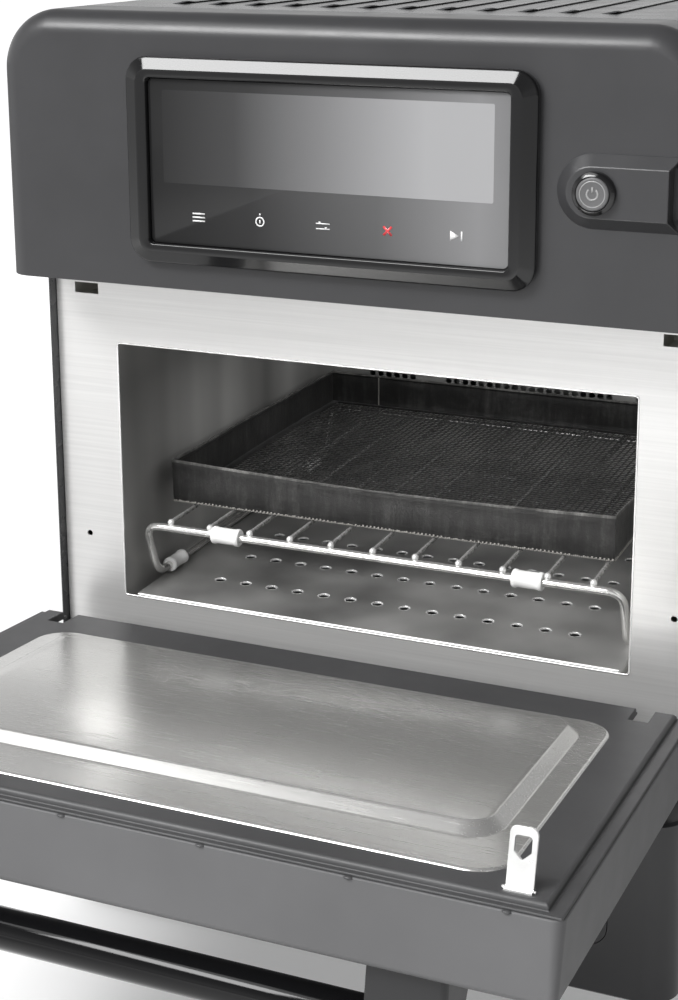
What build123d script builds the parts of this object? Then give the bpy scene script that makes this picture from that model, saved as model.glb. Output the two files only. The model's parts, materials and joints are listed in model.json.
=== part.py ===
"""Counter-top rapid-cook oven with a drop-down door, modelled open.

Row frame: +X to the user's right, +Y into the oven, +Z up, in millimetres.  The origin is on the
counter, under the middle of the oven with its door down.  The door's pieces are drawn on the
hinge line in the door's own directions (across, up the door, outwards) and so follow its angle.
"""
from build123d import *
from math import atan, cos, degrees, radians, sin
import os

# ---------------------------------------------------------------- driving dimensions
# casing
body_width = 405.0
body_depth = 520.0  # stainless front to rear panel
body_top = 564.0
foot_height = 30.0
casing_sheet = 1.2
casing_corner = 34.0
casing_gap = 1.0  # from the casing's front edges to the shut door's frame
front_y = -128.0  # the stainless front's plane
fit = 0.4  # clearance between pieces that drop into one another
touch = 0.3  # clearance between rounded pieces that only rest on each other
# cavity
cavity_side = 42.5  # from the casing's side to the cavity
cavity_height = 161.0
cavity_depth = 330.0
cavity_z = 203.0  # lower edge of the opening above the counter
floor_drop = 5.5  # the cavity's floor lies this far under the opening's lower edge
cavity_sheet = 1.2
insulation = 20.0
# fascias
fascia_depth = 50.0  # fascias and shut door stand this far in front of the stainless front
fascia_wall = 3.0
fascia_edge = 14.0
side_edge = 18.0
lower_fascia_bottom = 33.0
# door
door_height = 261.5
door_bottom = 146.0  # lower edge of the shut door
door_gap_above = 5.0
door_gap_below = 4.0
door_wall = 2.5
door_draft = 3.0  # degrees
door_corner = 6.0
door_seal_gap = 4.0  # door frame to stainless front, door shut
door_open = 85.1  # degrees from shut: the free edge stays a little high
hinge_up = 20.0  # hinge line above the door's lower edge
hinge_in = 11.0  # hinge line behind the door's outer face
rim_step = 5.0  # the door frame stands this far over the shell's edge
frame_sheet = 1.5
frame_inset = 7.5
frame_hinge_edge = -2.3  # the frame starts just under the hinge line
# door pan
pan_side = 11.0  # the pan's flange reaches this far past the opening on each side
pan_low = -6.5  # pan's lower edge from the opening's lower edge
pan_high = 187.0
pan_corner = 19.0
pan_sheet = 1.0
emboss_height = 5.5
emboss_slope = 6.0
emboss_gap = 5.0  # from the emboss to the cavity opening, all round
choke_band = 13.0  # both sides of the choke taken together
choke_side = 21.0
choke_depth = 14.0
# handle
grip_r = 10.0
grip_out = 34.5  # grip's centre from the door's outer face
grip_up = 220.0  # grip's centre from the hinge line
grip_bracket = 38.0
grip_clear = 224.0  # between the brackets
grip_seat = 28.0  # the grip's ends run this far into the brackets
grip_wall = 3.0  # bracket round the grip
grip_foot = (30.0, 10.0, 4.0)  # bracket's foot below and above the grip, and its thickness
grip_edge = 2.0  # chamfer round the bracket's outer face
# latch
latch_inset = 22.5  # from the casing's side
latch_up = 193.3  # latch slots above the opening's lower edge
latch_slot = (16.0, 6.5)
hook_width = 12.4
hook_length = 26.5
hook_sheet = 2.0
hook_lean = 4.0  # the hook's tip leans to the hinge so that it swings through its slot
# hinge
hinge_inset = 24.3  # from the casing's side
lug_width = 6.0
lug_half = 6.5
hinge_notch = 10.5
hinge_notch_up = 17.0
channel_sheet = 1.8
channel_play = 0.5
hinge_pin_r = 3.0
running = 0.05
# display and button
bezel_size = (234.0, 113.0)
bezel_up = 72.0  # bezel's centre above the fascia's lower edge
bezel_proud = 9.0
bezel_corner = 13.0
bezel_edge = 6.5  # slope round the bezel's front
glass_size = (206.0, 90.0)
glass_depth = 3.0
glass_thick = 2.5
button_inset = 55.5  # from the fascia's right side
button_up = 69.0  # above the fascia's lower edge
button_ring_r = 11.0
button_cap_r = 8.5
button_travel = 2.0
button_proud = 4.5
recess_high = 38.2
recess_floor = 25.7
recess_run = 76.5  # the recess starts this far from the fascia's right side
recess_depth = 5.5
# cooling air intake
filter_side = 38.0  # from the fascia's side to the filter cover
filter_high = 67.0
filter_low = 30.0  # filter cover above the lower fascia's lower edge
filter_corner = 12.0
filter_sheet = 3.0
filter_pad = 8.0
slot_pitch = 16.8
slot_width = 5.4
slot_length = 47.0
# jet plates
jet_height = 5.0
jet_sheet = 1.0
jet_margin = 5.0
jet_front = 3.0  # the plate starts this far behind the stainless front
jet_hole_r = 2.9
jet_pitch = 17.9
jet_edge = 38.0  # from the plate's side to the first holes
jet_row = 44.2
jet_rows = 7
jet_first_row = 44.0
ceiling_drop = 14.0
ceiling_setback = 55.0  # from the stainless front
ceiling_hole_r = 7.0
# rack and basket
rack_wire_r = 2.5
rack_cross_r = 1.75
cross_weld = 0.6  # the cross wires sink this far into the bars
rack_cross_pitch = 26.9
rack_side = 5.5  # from the cavity's side to the rack
rack_bar_z = 42.0
rack_bend = 10.0
rack_front = 14.0
rack_lean = 13.0
rack_length = 290.0
sleeve_r = 5.4
sleeve_length = 18.0
sleeve_x = 96.0
runner_sleeve_r = 4.7
runner_sleeve_y = 37.0
basket_side = (7.0, 20.0)  # from the cavity's sides to the basket, left and right
basket_depth = 258.0
basket_front = 44.0
basket_wall = 1.4
basket_high = 28.0
# top louvres
louvre_pitch = 23.4
louvre_front = 36.0  # from the casing's front edge
louvre_length = 250.0
louvre_rise = 4.0
louvre_width = 12.0
# waveguide's mouth in the cavity's ceiling
guide = (110.0, 54.0)
guide_in = 190.0  # from the stainless front
# fans
plenum_depth = 56.0
plenum_side = 10.0  # from the cavity's side to the plenum's
impeller_r = 62.0
impeller_width = 30.0
impeller_blades = 14
cooling_fan_size = 119.0
cooling_fan_depth = 38.0
cooling_fan_x = -80.0
cooling_fan_y = 60.0
cooling_blades = 7

# ---------------------------------------------------------------- places that follow
half = body_width / 2
cavity_width = body_width - 2 * cavity_side
pan_width = cavity_width + 2 * pan_side
choke_inner = pan_width - choke_side
latch_x = half - latch_inset
hinge_x = half - hinge_inset
button_x = half - button_inset
recess_left = half - recess_run
filter_size = (body_width - 2 * filter_side, filter_high)
rack_width = cavity_width - 2 * rack_side
basket_size = (cavity_width - sum(basket_side), basket_depth)
basket_x = (basket_side[0] - basket_side[1]) / 2
back_y = front_y + body_depth
door_top = door_bottom + door_height
upper_low = door_top + door_gap_above
upper_high = body_top
lower_high = door_bottom - door_gap_below
face_y = front_y - fascia_depth
lip_y = front_y - (door_seal_gap + rim_step - frame_sheet - casing_gap)
cavity_top = cavity_z + cavity_height
cavity_floor = cavity_z - floor_drop
cavity_back = front_y + cavity_depth
liner_front = front_y + casing_sheet
liner_half = cavity_width / 2 + cavity_sheet
inner_half = half - casing_sheet - fit
plate_half = inner_half + fit - touch
latch_z = cavity_z + latch_up
guide_y = front_y + guide_in
hinge_y = face_y + hinge_in
hinge_z = door_bottom + hinge_up
chassis_floor = foot_height + casing_sheet

# the door's own directions: x across, y from the hinge line to the free edge, z outwards
door_plane = Plane(
    origin=(0, hinge_y, hinge_z),
    x_dir=(1, 0, 0),
    z_dir=(0, -cos(radians(door_open)), -sin(radians(door_open))),
)
outwards = Axis(door_plane.origin, door_plane.z_dir)
up_door = Axis(door_plane.origin, door_plane.y_dir)
door_face = hinge_in
frame_face = -(fascia_depth - hinge_in - door_seal_gap)
rim_face = frame_face + rim_step
door_mid = door_height / 2 - hinge_up


def at_y(y):
    """A sketch plane facing the user at depth y: sketch x is X, sketch y is Z."""
    return Plane.XZ.offset(-y)


def at_x(x):
    """A sketch plane facing right at x: sketch x is Y, sketch y is Z."""
    return Plane.YZ.offset(x)


def on_door(z):
    """A sketch plane across the door, z outwards of the hinge line."""
    return door_plane.offset(z)


def beside_door(x):
    """A sketch plane through the door at x: sketch x runs up the door, sketch y outwards."""
    return Plane(
        origin=(x, hinge_y, hinge_z), x_dir=door_plane.y_dir, z_dir=(1, 0, 0)
    )


def across_door(up):
    """A sketch plane square to the door at that height: sketch x is X, sketch y runs inwards."""
    foot = door_plane.origin + door_plane.y_dir * up
    return Plane(origin=foot, x_dir=(1, 0, 0), z_dir=door_plane.y_dir)


def block(x, y, z, mode=Mode.ADD):
    """A plain block between pairs of limits, for the builder at work."""
    size = [high - low for low, high in (x, y, z)]
    middle = tuple((high + low) / 2 for low, high in (x, y, z))
    with Locations(middle):
        Box(*size, mode=mode)


def rounded_front(half_width, z, corner, y_back, y_face, edge, cut=fillet):
    """A block with rounded upper corners, its front edges, but for the lowest, rounded or cut."""
    with BuildPart() as block:
        with BuildSketch(at_y(y_back)) as outline:
            with Locations((0, sum(z) / 2)):
                Rectangle(2 * half_width, z[1] - z[0])
            if corner:
                fillet(outline.vertices().group_by(Axis.Y)[-1], corner)
        extrude(amount=y_back - y_face)
        front = block.faces().sort_by(Axis.Y)[0]
        if edge:
            cut(front.edges().sort_by(Axis.Z)[1:], edge)
    return block.part


def save(piece, label):
    """Label a finished piece and write it as parts/<label>.step."""
    part = piece.part if isinstance(piece, BuildPart) else piece
    part.label = label
    export_step(part, f"parts/{label}.step")


os.makedirs("parts", exist_ok=True)

# ---------------------------------------------------------------- casing
base_depth = (front_y + casing_sheet + touch, back_y - casing_sheet - touch)
with BuildPart() as chassis_base:
    block((-plate_half, plate_half), base_depth, (foot_height, foot_height + 18))
    offset(
        amount=-casing_sheet,
        openings=chassis_base.faces().sort_by(Axis.Z)[-1],
        kind=Kind.INTERSECTION,
    )
    with BuildSketch(Plane.XY.offset(foot_height)):
        with Locations((0, front_y + cooling_fan_y + cooling_fan_depth + 60)):
            with GridLocations(14, 0, 11, 1):
                Rectangle(5, 60)
    extrude(amount=casing_sheet, mode=Mode.SUBTRACT)
save(chassis_base, "chassis_base")

louvre_count = int((body_width - 3 * casing_corner) / louvre_pitch) // 2 * 2
with BuildSketch() as louvre_lip:
    with BuildLine():
        Polyline(
            (-louvre_width / 2, 0),
            (-louvre_width / 2 + 3, 0),
            (louvre_width / 2, louvre_rise),
            (louvre_width / 2, louvre_rise + casing_sheet),
            (-louvre_width / 2, casing_sheet),
            close=True,
        )
    make_face()

side_vent_y = front_y + body_depth - 90
with BuildPart() as body_wrap:
    with BuildSketch(at_y(back_y)) as wrap_outline:
        with Locations((0, (foot_height + body_top) / 2)):
            Rectangle(body_width, body_top - foot_height)
        fillet(wrap_outline.vertices().group_by(Axis.Y)[-1], casing_corner)
    extrude(amount=back_y - lip_y)
    with BuildSketch(at_y(back_y)) as wrap_inside:
        with Locations((0, (foot_height + body_top) / 2 - casing_sheet)):
            Rectangle(body_width - 2 * casing_sheet, body_top - foot_height)
        fillet(wrap_inside.vertices().group_by(Axis.Y)[-1], casing_corner - casing_sheet)
    extrude(amount=back_y - lip_y, mode=Mode.SUBTRACT)
    # long louvres in the top: a slot and a lifted lip over each
    with BuildSketch(Plane.XY.offset(body_top)):
        with Locations((louvre_width * 0.15, lip_y + louvre_front + louvre_length / 2)):
            with GridLocations(louvre_pitch, 0, louvre_count, 1):
                Rectangle(louvre_width * 0.6, louvre_length)
    extrude(amount=-casing_sheet, mode=Mode.SUBTRACT)
    with BuildSketch(at_y(lip_y + louvre_front + louvre_length)):
        with Locations((0, body_top - casing_sheet)):
            with GridLocations(louvre_pitch, 0, louvre_count, 1):
                add(louvre_lip.sketch)
    extrude(amount=louvre_length)
    # upright vents low down at the back of each side
    with BuildSketch(at_x(-half)):
        with Locations((side_vent_y, foot_height + 75)):
            with GridLocations(11, 0, 9, 1):
                Rectangle(4.5, 56)
    extrude(amount=body_width, mode=Mode.SUBTRACT)
save(body_wrap, "body_wrap")

rear_low = foot_height + casing_sheet
with BuildPart() as rear_panel:
    with BuildSketch(at_y(back_y - touch)) as rear_outline:
        with Locations((0, (foot_height + body_top) / 2 - casing_sheet)):
            Rectangle(2 * inner_half, body_top - foot_height - 2 * fit)
        fillet(
            rear_outline.vertices().group_by(Axis.Y)[-1],
            casing_corner - casing_sheet - fit,
        )
    extrude(amount=casing_sheet)
    with BuildSketch(at_y(back_y)):
        for z in (foot_height + 70, body_top - 70):
            with Locations((0, z)):
                with GridLocations(17, 0, 16, 1):
                    Rectangle(5, 70)
        with Locations((half - 60, foot_height + 150)):
            Circle(11)
    extrude(amount=casing_sheet + fit, mode=Mode.SUBTRACT)
save(rear_panel, "rear_panel")

with BuildPart() as cable_gland:
    with Locations(Plane(origin=(half - 60, back_y - 6, foot_height + 150), z_dir=(0, 1, 0))):
        Cylinder(11, 12)
        with Locations((0, 0, 6 - touch)):
            Cylinder(10, 14, align=(Align.CENTER, Align.CENTER, Align.MIN))
    with BuildSketch(at_y(back_y - touch + 5)):
        with Locations((half - 60, foot_height + 150)):
            RegularPolygon(16, 6)
    extrude(amount=5)
    with Locations(Plane(origin=(half - 60, back_y, foot_height + 150), z_dir=(0, 1, 0))):
        Cylinder(6, 60, mode=Mode.SUBTRACT)
save(cable_gland, "cable_gland")

# ---------------------------------------------------------------- front and cavity
front_low = foot_height + casing_sheet + touch
front_high = upper_low + 20
slot_w, slot_h = latch_slot
with BuildPart() as front_plate:
    with BuildSketch(at_y(liner_front)):
        with Locations((0, (front_low + front_high) / 2)):
            Rectangle(2 * plate_half, front_high - front_low)
        with Locations((0, cavity_z + cavity_height / 2)):
            Rectangle(cavity_width, cavity_height, mode=Mode.SUBTRACT)
        with Locations((0, latch_z)):
            with GridLocations(2 * latch_x, 0, 2, 1):
                Rectangle(slot_w, slot_h, mode=Mode.SUBTRACT)
        with Locations((0, hinge_z)):
            with GridLocations(2 * hinge_x, 0, 2, 1):
                Rectangle(lug_width + 1, 2 * lug_half + 2, mode=Mode.SUBTRACT)
        with Locations((0, cavity_z + 37)):
            with GridLocations(2 * (half - 18.5), 0, 2, 1):
                Circle(1.8, mode=Mode.SUBTRACT)
        with Locations((0, lower_fascia_bottom + filter_low + filter_size[1] / 2)):
            Rectangle(filter_size[0] - 40, filter_size[1] - 6, mode=Mode.SUBTRACT)
    extrude(amount=casing_sheet)
save(front_plate, "front_plate")

liner_low, liner_high = cavity_floor - cavity_sheet, cavity_top + cavity_sheet
with BuildPart() as cavity_liner:
    block((-liner_half, liner_half), (liner_front, cavity_back), (liner_low, liner_high))
    block(
        (-cavity_width / 2, cavity_width / 2),
        (liner_front, cavity_back),
        (cavity_floor, cavity_top),
        mode=Mode.SUBTRACT,
    )
    with BuildSketch(Plane.XY.offset(cavity_top)):
        with Locations((0, guide_y)):
            Rectangle(*guide)
    extrude(amount=cavity_sheet, mode=Mode.SUBTRACT)
save(cavity_liner, "cavity_liner")

with BuildPart() as cavity_back_wall:
    block((-liner_half, liner_half), (cavity_back, cavity_back + cavity_sheet), (liner_low, liner_high))
    with BuildSketch(at_y(cavity_back + cavity_sheet)):
        # the fan draws through the middle and blows out over and under the jet plates
        with Locations((0, cavity_z + 80)):
            with GridLocations(13, 13, 11, 3):
                RegularPolygon(3.6, 6)
        with Locations((0, cavity_z + 64)):
            with GridLocations(2 * 100, 0, 2, 1):
                with GridLocations(13, 9, 4, 2):
                    RegularPolygon(3.0, 6)
        with Locations((0, cavity_top - ceiling_drop / 2)):
            Rectangle(cavity_width - 100, ceiling_drop - 5)
    extrude(amount=cavity_sheet, mode=Mode.SUBTRACT)
save(cavity_back_wall, "cavity_back_wall")

jacket = (liner_front + 4, cavity_back)
jacket_half = liner_half + insulation
with BuildPart() as insulation_jacket:
    block((-jacket_half, jacket_half), jacket, (liner_low - insulation, liner_high + insulation))
    block((-liner_half, liner_half), jacket, (liner_low, liner_high), mode=Mode.SUBTRACT)
    block(
        (-guide[0] / 2 - 6, guide[0] / 2 + 6),
        (guide_y - guide[1] / 2 - 6, guide_y + guide[1] / 2 + 6),
        (liner_high, liner_high + insulation),
        mode=Mode.SUBTRACT,
    )
save(insulation_jacket, "insulation_jacket")

jet_half = cavity_width / 2 - jet_margin
jet_across = int(2 * (jet_half - jet_edge) / jet_pitch) + 1
jet_span = (front_y + jet_front, cavity_back - jet_margin)
jet_z = cavity_floor + jet_height
with BuildPart() as jet_plate:
    block((-jet_half, jet_half), jet_span, (cavity_floor + touch, jet_z + jet_sheet))
    block(
        (-jet_half + jet_sheet, jet_half - jet_sheet),
        (jet_span[0] + jet_sheet, jet_span[1]),
        (cavity_floor + touch, jet_z),
        mode=Mode.SUBTRACT,
    )
    with BuildSketch(Plane.XY.offset(jet_z)):
        with Locations((0, front_y + jet_first_row + jet_row * (jet_rows - 1) / 2)):
            with GridLocations(jet_pitch, jet_row, jet_across, jet_rows):
                RegularPolygon(jet_hole_r, 6)
    extrude(amount=jet_sheet, mode=Mode.SUBTRACT)
save(jet_plate, "jet_plate")

ceiling_z = cavity_top - ceiling_drop
ceiling_span = (front_y + ceiling_setback, jet_span[1])
with BuildPart() as ceiling_jet_plate:
    block((-jet_half, jet_half), ceiling_span, (ceiling_z, cavity_top - touch))
    block(
        (-jet_half + jet_sheet, jet_half - jet_sheet),
        (ceiling_span[0] + jet_sheet, ceiling_span[1]),
        (ceiling_z + jet_sheet, cavity_top - touch),
        mode=Mode.SUBTRACT,
    )
    with BuildSketch(Plane.XY.offset(ceiling_z)):
        with Locations((0, sum(ceiling_span) / 2)):
            with GridLocations(62, 74, 5, 4):
                RegularPolygon(ceiling_hole_r, 8)
    extrude(amount=jet_sheet, mode=Mode.SUBTRACT)
save(ceiling_jet_plate, "ceiling_jet_plate")

# ---------------------------------------------------------------- upper fascia
fascia_back = lip_y - fit
outer = rounded_front(half, (upper_low, upper_high), casing_corner, fascia_back, face_y, fascia_edge)
hollow = rounded_front(
    half - fascia_wall,
    (upper_low + fascia_wall, upper_high - fascia_wall),
    casing_corner - fascia_wall,
    fascia_back,
    face_y + fascia_wall,
    fascia_edge - 2 * fascia_wall,
    chamfer,
)
sleeve_in = casing_sheet + fit
spigot = rounded_front(
    half - sleeve_in, (upper_low, upper_high - sleeve_in), casing_corner - sleeve_in,
    front_y - touch, fascia_back - fascia_wall, 0,
)
spigot_hole = rounded_front(
    half - sleeve_in - fascia_wall,
    (upper_low + fascia_wall, upper_high - sleeve_in - fascia_wall),
    casing_corner - sleeve_in - fascia_wall,
    front_y - touch, fascia_back - fascia_wall, 0,
)
recess_z = upper_low + button_up
floor_y = face_y + recess_depth
recess_slope = (recess_high - recess_floor) / 2
with BuildPart() as recess_wall:
    add(outer)
    block(
        (recess_left - fascia_wall, half),
        (face_y, floor_y + fascia_wall),
        (recess_z - recess_high / 2 - fascia_wall, recess_z + recess_high / 2 + fascia_wall),
        mode=Mode.INTERSECT,
    )
with BuildPart() as recess_side_wall:
    add(outer)
    block(
        (half - recess_depth - fascia_wall, half),
        (face_y, fascia_back),
        (recess_z - recess_high / 2 - fascia_wall, recess_z + recess_high / 2 + fascia_wall),
        mode=Mode.INTERSECT,
    )
with BuildPart() as front_recess:
    reach = 2 * (half + 60 - recess_left)
    for y, high in ((face_y - 1e-3, recess_high), (floor_y, recess_floor)):
        with BuildSketch(at_y(y)):
            with Locations((recess_left + recess_high / 2 + reach / 2, recess_z)):
                SlotCenterToCenter(reach, high)
    loft()
with BuildPart() as side_recess:
    for x, high in ((half + 1e-3, recess_high), (half - recess_depth, recess_floor)):
        with BuildSketch(at_x(x)):
            with Locations(((floor_y + front_y) / 2, recess_z)):
                Rectangle(front_y - floor_y, high)
    loft()
window = (glass_size[0] + 8, glass_size[1] + 8)
display_z = upper_low + bezel_up
with BuildPart() as upper_fascia:
    add(outer)
    add(hollow, mode=Mode.SUBTRACT)
    add(spigot)
    add(spigot_hole, mode=Mode.SUBTRACT)
    add(recess_wall.part)
    add(recess_side_wall.part)
    add(front_recess.part, mode=Mode.SUBTRACT)
    add(side_recess.part, mode=Mode.SUBTRACT)
    with BuildSketch(at_y(face_y)):
        with Locations((0, display_z)):
            RectangleRounded(*window, 4)
        with Locations((button_x, recess_z)):
            Circle(button_ring_r - 1.5)
    extrude(amount=-(recess_depth + fascia_wall), mode=Mode.SUBTRACT)
save(upper_fascia, "upper_fascia")

glass_front = face_y - bezel_proud + glass_depth
with BuildPart() as display_bezel:
    with BuildSketch(at_y(face_y)):
        with Locations((0, display_z)):
            RectangleRounded(*bezel_size, bezel_corner)
    extrude(amount=bezel_proud)
    chamfer(display_bezel.faces().sort_by(Axis.Y)[0].edges(), bezel_edge)
    with BuildSketch(at_y(face_y - bezel_proud)):
        with Locations((0, display_z)):
            RectangleRounded(glass_size[0] + fit, glass_size[1] + fit, 3)
    extrude(amount=-(glass_depth + glass_thick), mode=Mode.SUBTRACT)
    with BuildSketch(at_y(face_y)):
        with Locations((0, display_z)):
            RectangleRounded(glass_size[0] - 8, glass_size[1] - 8, 3)
    extrude(amount=bezel_proud, mode=Mode.SUBTRACT)
    # tongue that seats in the fascia's window
    with BuildSketch(at_y(face_y)):
        with Locations((0, display_z)):
            RectangleRounded(window[0] - fit, window[1] - fit, 4)
            RectangleRounded(window[0] - fit - 4, window[1] - fit - 4, 2, mode=Mode.SUBTRACT)
    extrude(amount=-fascia_wall)
save(display_bezel, "display_bezel")

with BuildPart() as display_glass:
    with BuildSketch(at_y(glass_front + glass_thick)):
        with Locations((0, display_z)):
            RectangleRounded(*glass_size, 2.8)
    extrude(amount=glass_thick)
save(display_glass, "display_glass")

with BuildPart() as display_module:
    module = (glass_size[0] - 8 - fit, glass_size[1] - 8 - fit)
    with BuildSketch(at_y(glass_front + glass_thick + 6)):
        with Locations((0, display_z)):
            RectangleRounded(*module, 3)
    extrude(amount=6)
save(display_module, "display_module")

board_y = glass_front + glass_thick + 6
with BuildPart() as control_board:
    with BuildSketch(at_y(board_y + 1.6)):
        with Locations((0, display_z)):
            Rectangle(module[0], module[1] - 6)
    extrude(amount=1.6)
    with BuildSketch(at_y(board_y + 1.6)):
        with Locations((-50, display_z + 8)):
            Rectangle(28, 28)
        with Locations((20, display_z - 12)):
            Rectangle(16, 22)
        with Locations((70, display_z + 15)):
            Rectangle(22, 12)
    extrude(amount=-6)
save(control_board, "control_board")

ring_front = floor_y - button_proud
with BuildPart() as button_housing:
    with Locations(Plane(origin=(button_x, floor_y, recess_z), z_dir=(0, -1, 0))):
        Cylinder(button_ring_r, button_proud, align=(Align.CENTER, Align.CENTER, Align.MIN))
        Cylinder(
            button_ring_r - 1.5 - touch / 2, fascia_wall + 18,
            align=(Align.CENTER, Align.CENTER, Align.MAX),
        )
    chamfer(button_housing.edges().sort_by(Axis.Y)[0], 1)
    with Locations(Plane(origin=(button_x, ring_front, recess_z), z_dir=(0, 1, 0))):
        Cylinder(
            button_cap_r + touch / 2, button_proud + 8,
            align=(Align.CENTER, Align.CENTER, Align.MIN), mode=Mode.SUBTRACT,
        )
save(button_housing, "button_housing")

with BuildPart() as power_button:
    with Locations(Plane(origin=(button_x, ring_front - 0.6, recess_z), z_dir=(0, 1, 0))):
        Cylinder(
            button_cap_r, button_proud + 8 + 0.6 - button_travel - touch,
            align=(Align.CENTER, Align.CENTER, Align.MIN),
        )
    chamfer(power_button.edges().sort_by(Axis.Y)[0], 0.8)
save(power_button, "power_button")

# ---------------------------------------------------------------- lower fascia and air filter
lower_outer = rounded_front(half, (lower_fascia_bottom, lower_high), 0, fascia_back, face_y, 0)
with BuildPart() as lower_hollow:
    block(
        (-half + fascia_wall, half - fascia_wall),
        (face_y + 2 * fascia_wall + fit, fascia_back),
        (lower_fascia_bottom + fascia_wall, lower_high - fascia_wall),
    )
    front = lower_hollow.faces().sort_by(Axis.Y)[0]
    fillet(front.edges().filter_by(Axis.Z), side_edge - fascia_wall)
filter_z = lower_fascia_bottom + filter_low + filter_size[1] / 2
pocket = (filter_size[0] + 2 * fit, filter_size[1] + 2 * fit)
intake = (filter_size[0] - 26, filter_size[1] - 14)
with BuildPart() as lower_fascia:
    add(lower_outer)
    fillet(lower_fascia.faces().sort_by(Axis.Y)[0].edges().filter_by(Axis.Z), side_edge)
    chamfer(lower_fascia.faces().sort_by(Axis.Y)[0].edges().filter_by(Axis.X), 1.5)
    add(lower_hollow.part, mode=Mode.SUBTRACT)
    block(
        (-half + sleeve_in, half - sleeve_in),
        (fascia_back - fascia_wall, front_y - touch),
        (lower_fascia_bottom, lower_high),
    )
    block(
        (-half + sleeve_in + fascia_wall, half - sleeve_in - fascia_wall),
        (fascia_back - fascia_wall, front_y - touch),
        (lower_fascia_bottom + fascia_wall, lower_high - fascia_wall),
        mode=Mode.SUBTRACT,
    )
    with BuildSketch(at_y(face_y)):
        with Locations((0, filter_z)):
            RectangleRounded(*pocket, filter_corner + fit)
    extrude(amount=-(filter_sheet + fit), mode=Mode.SUBTRACT)
    with BuildSketch(at_y(face_y)):
        with Locations((0, filter_z)):
            RectangleRounded(*intake, filter_corner - 6)
    extrude(amount=-(2 * fascia_wall + fit), mode=Mode.SUBTRACT)
save(lower_fascia, "lower_fascia")

cover_back = face_y + filter_sheet
slot_count = int((filter_size[0] - 2 * filter_corner) / slot_pitch) + 1
with BuildSketch() as intake_slot:
    Rectangle(slot_width, slot_length)
    chamfer(intake_slot.vertices(), slot_width * 0.29)
with BuildPart() as filter_cover:
    with BuildSketch(at_y(cover_back)):
        with Locations((0, filter_z)):
            RectangleRounded(*filter_size, filter_corner)
            with GridLocations(slot_pitch, 0, slot_count, 1):
                add(intake_slot.sketch, mode=Mode.SUBTRACT)
    extrude(amount=filter_sheet)
save(filter_cover, "filter_cover")

with BuildPart() as air_filter:
    block(
        (-intake[0] / 2 + fit, intake[0] / 2 - fit),
        (cover_back, cover_back + filter_pad),
        (filter_z - intake[1] / 2 + fit, filter_z + intake[1] / 2 - fit),
    )
    fillet(air_filter.edges().filter_by(Axis.Y), filter_corner - 6)
save(air_filter, "air_filter")

# ---------------------------------------------------------------- rack and basket
runner_half = rack_width / 2 - rack_wire_r
runner_z = jet_z + jet_sheet + touch + runner_sleeve_r
bar_y = front_y + rack_front
bar_z = cavity_z + rack_bar_z
rack_back = bar_y + rack_length
rack_cross_count = int((rack_width - 2 * rack_bend) / rack_cross_pitch) + 1
side_line = (
    (bar_y, bar_z),
    (bar_y + rack_lean, runner_z),
    (rack_back - rack_lean, runner_z),
    (rack_back, bar_z),
)
corners = [(runner_half, y, z) for y, z in side_line]
with BuildPart() as wire_rack:
    with BuildLine() as rack_line:
        FilletPolyline((-0.5, bar_y, bar_z), *corners, (-0.5, rack_back, bar_z), radius=rack_bend)
    with BuildSketch(Plane(origin=(-0.5, bar_y, bar_z), z_dir=(1, 0, 0))):
        RegularPolygon(rack_wire_r, 8)
    sweep()
    mirror(about=Plane.YZ)
save(wire_rack, "wire_rack")

cross_z = bar_z + rack_wire_r + rack_cross_r - cross_weld
cross_end = 2.0
with BuildPart() as rack_cross_wires:
    with BuildSketch(at_y(rack_back + cross_end)):
        with Locations((0, cross_z)):
            with GridLocations(rack_cross_pitch, 0, rack_cross_count, 1):
                RegularPolygon(rack_cross_r, 8)
    extrude(amount=rack_length + 2 * cross_end)
    # welded down to the frame, and notched to sit on it
    for y in (bar_y, rack_back):
        with BuildSketch(at_x(-half)):
            with Locations((y, bar_z)):
                RegularPolygon(rack_wire_r, 8)
        extrude(amount=body_width, mode=Mode.SUBTRACT)
save(rack_cross_wires, "rack_cross_wires")

with BuildPart() as rack_sleeves:
    for x in (-sleeve_x, sleeve_x):
        with BuildSketch(Plane(origin=(x - sleeve_length / 2, bar_y, bar_z), z_dir=(1, 0, 0))):
            RegularPolygon(sleeve_r, 12)
            Circle(rack_wire_r + running, mode=Mode.SUBTRACT)
        extrude(amount=sleeve_length)
    for x in (-runner_half, runner_half):
        for y in (bar_y + runner_sleeve_y, rack_back - runner_sleeve_y):
            with BuildSketch(at_y(y + sleeve_length / 2)):
                with Locations((x, runner_z)):
                    RegularPolygon(runner_sleeve_r, 12)
                    Circle(rack_wire_r + running, mode=Mode.SUBTRACT)
            extrude(amount=sleeve_length)
save(rack_sleeves, "rack_sleeves")

basket_z = cross_z + rack_cross_r + touch
basket_mid = front_y + basket_front + basket_size[1] / 2
with BuildPart() as mesh_basket:
    for inset, low, mode in ((0, 0, Mode.ADD), (basket_wall, basket_wall, Mode.SUBTRACT)):
        with BuildSketch(Plane.XY.offset(basket_z + low)):
            with Locations((basket_x, basket_mid)):
                Rectangle(basket_size[0] - 2 * inset, basket_size[1] - 2 * inset)
        extrude(amount=basket_high - low, mode=mode)
save(mesh_basket, "mesh_basket")

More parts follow.
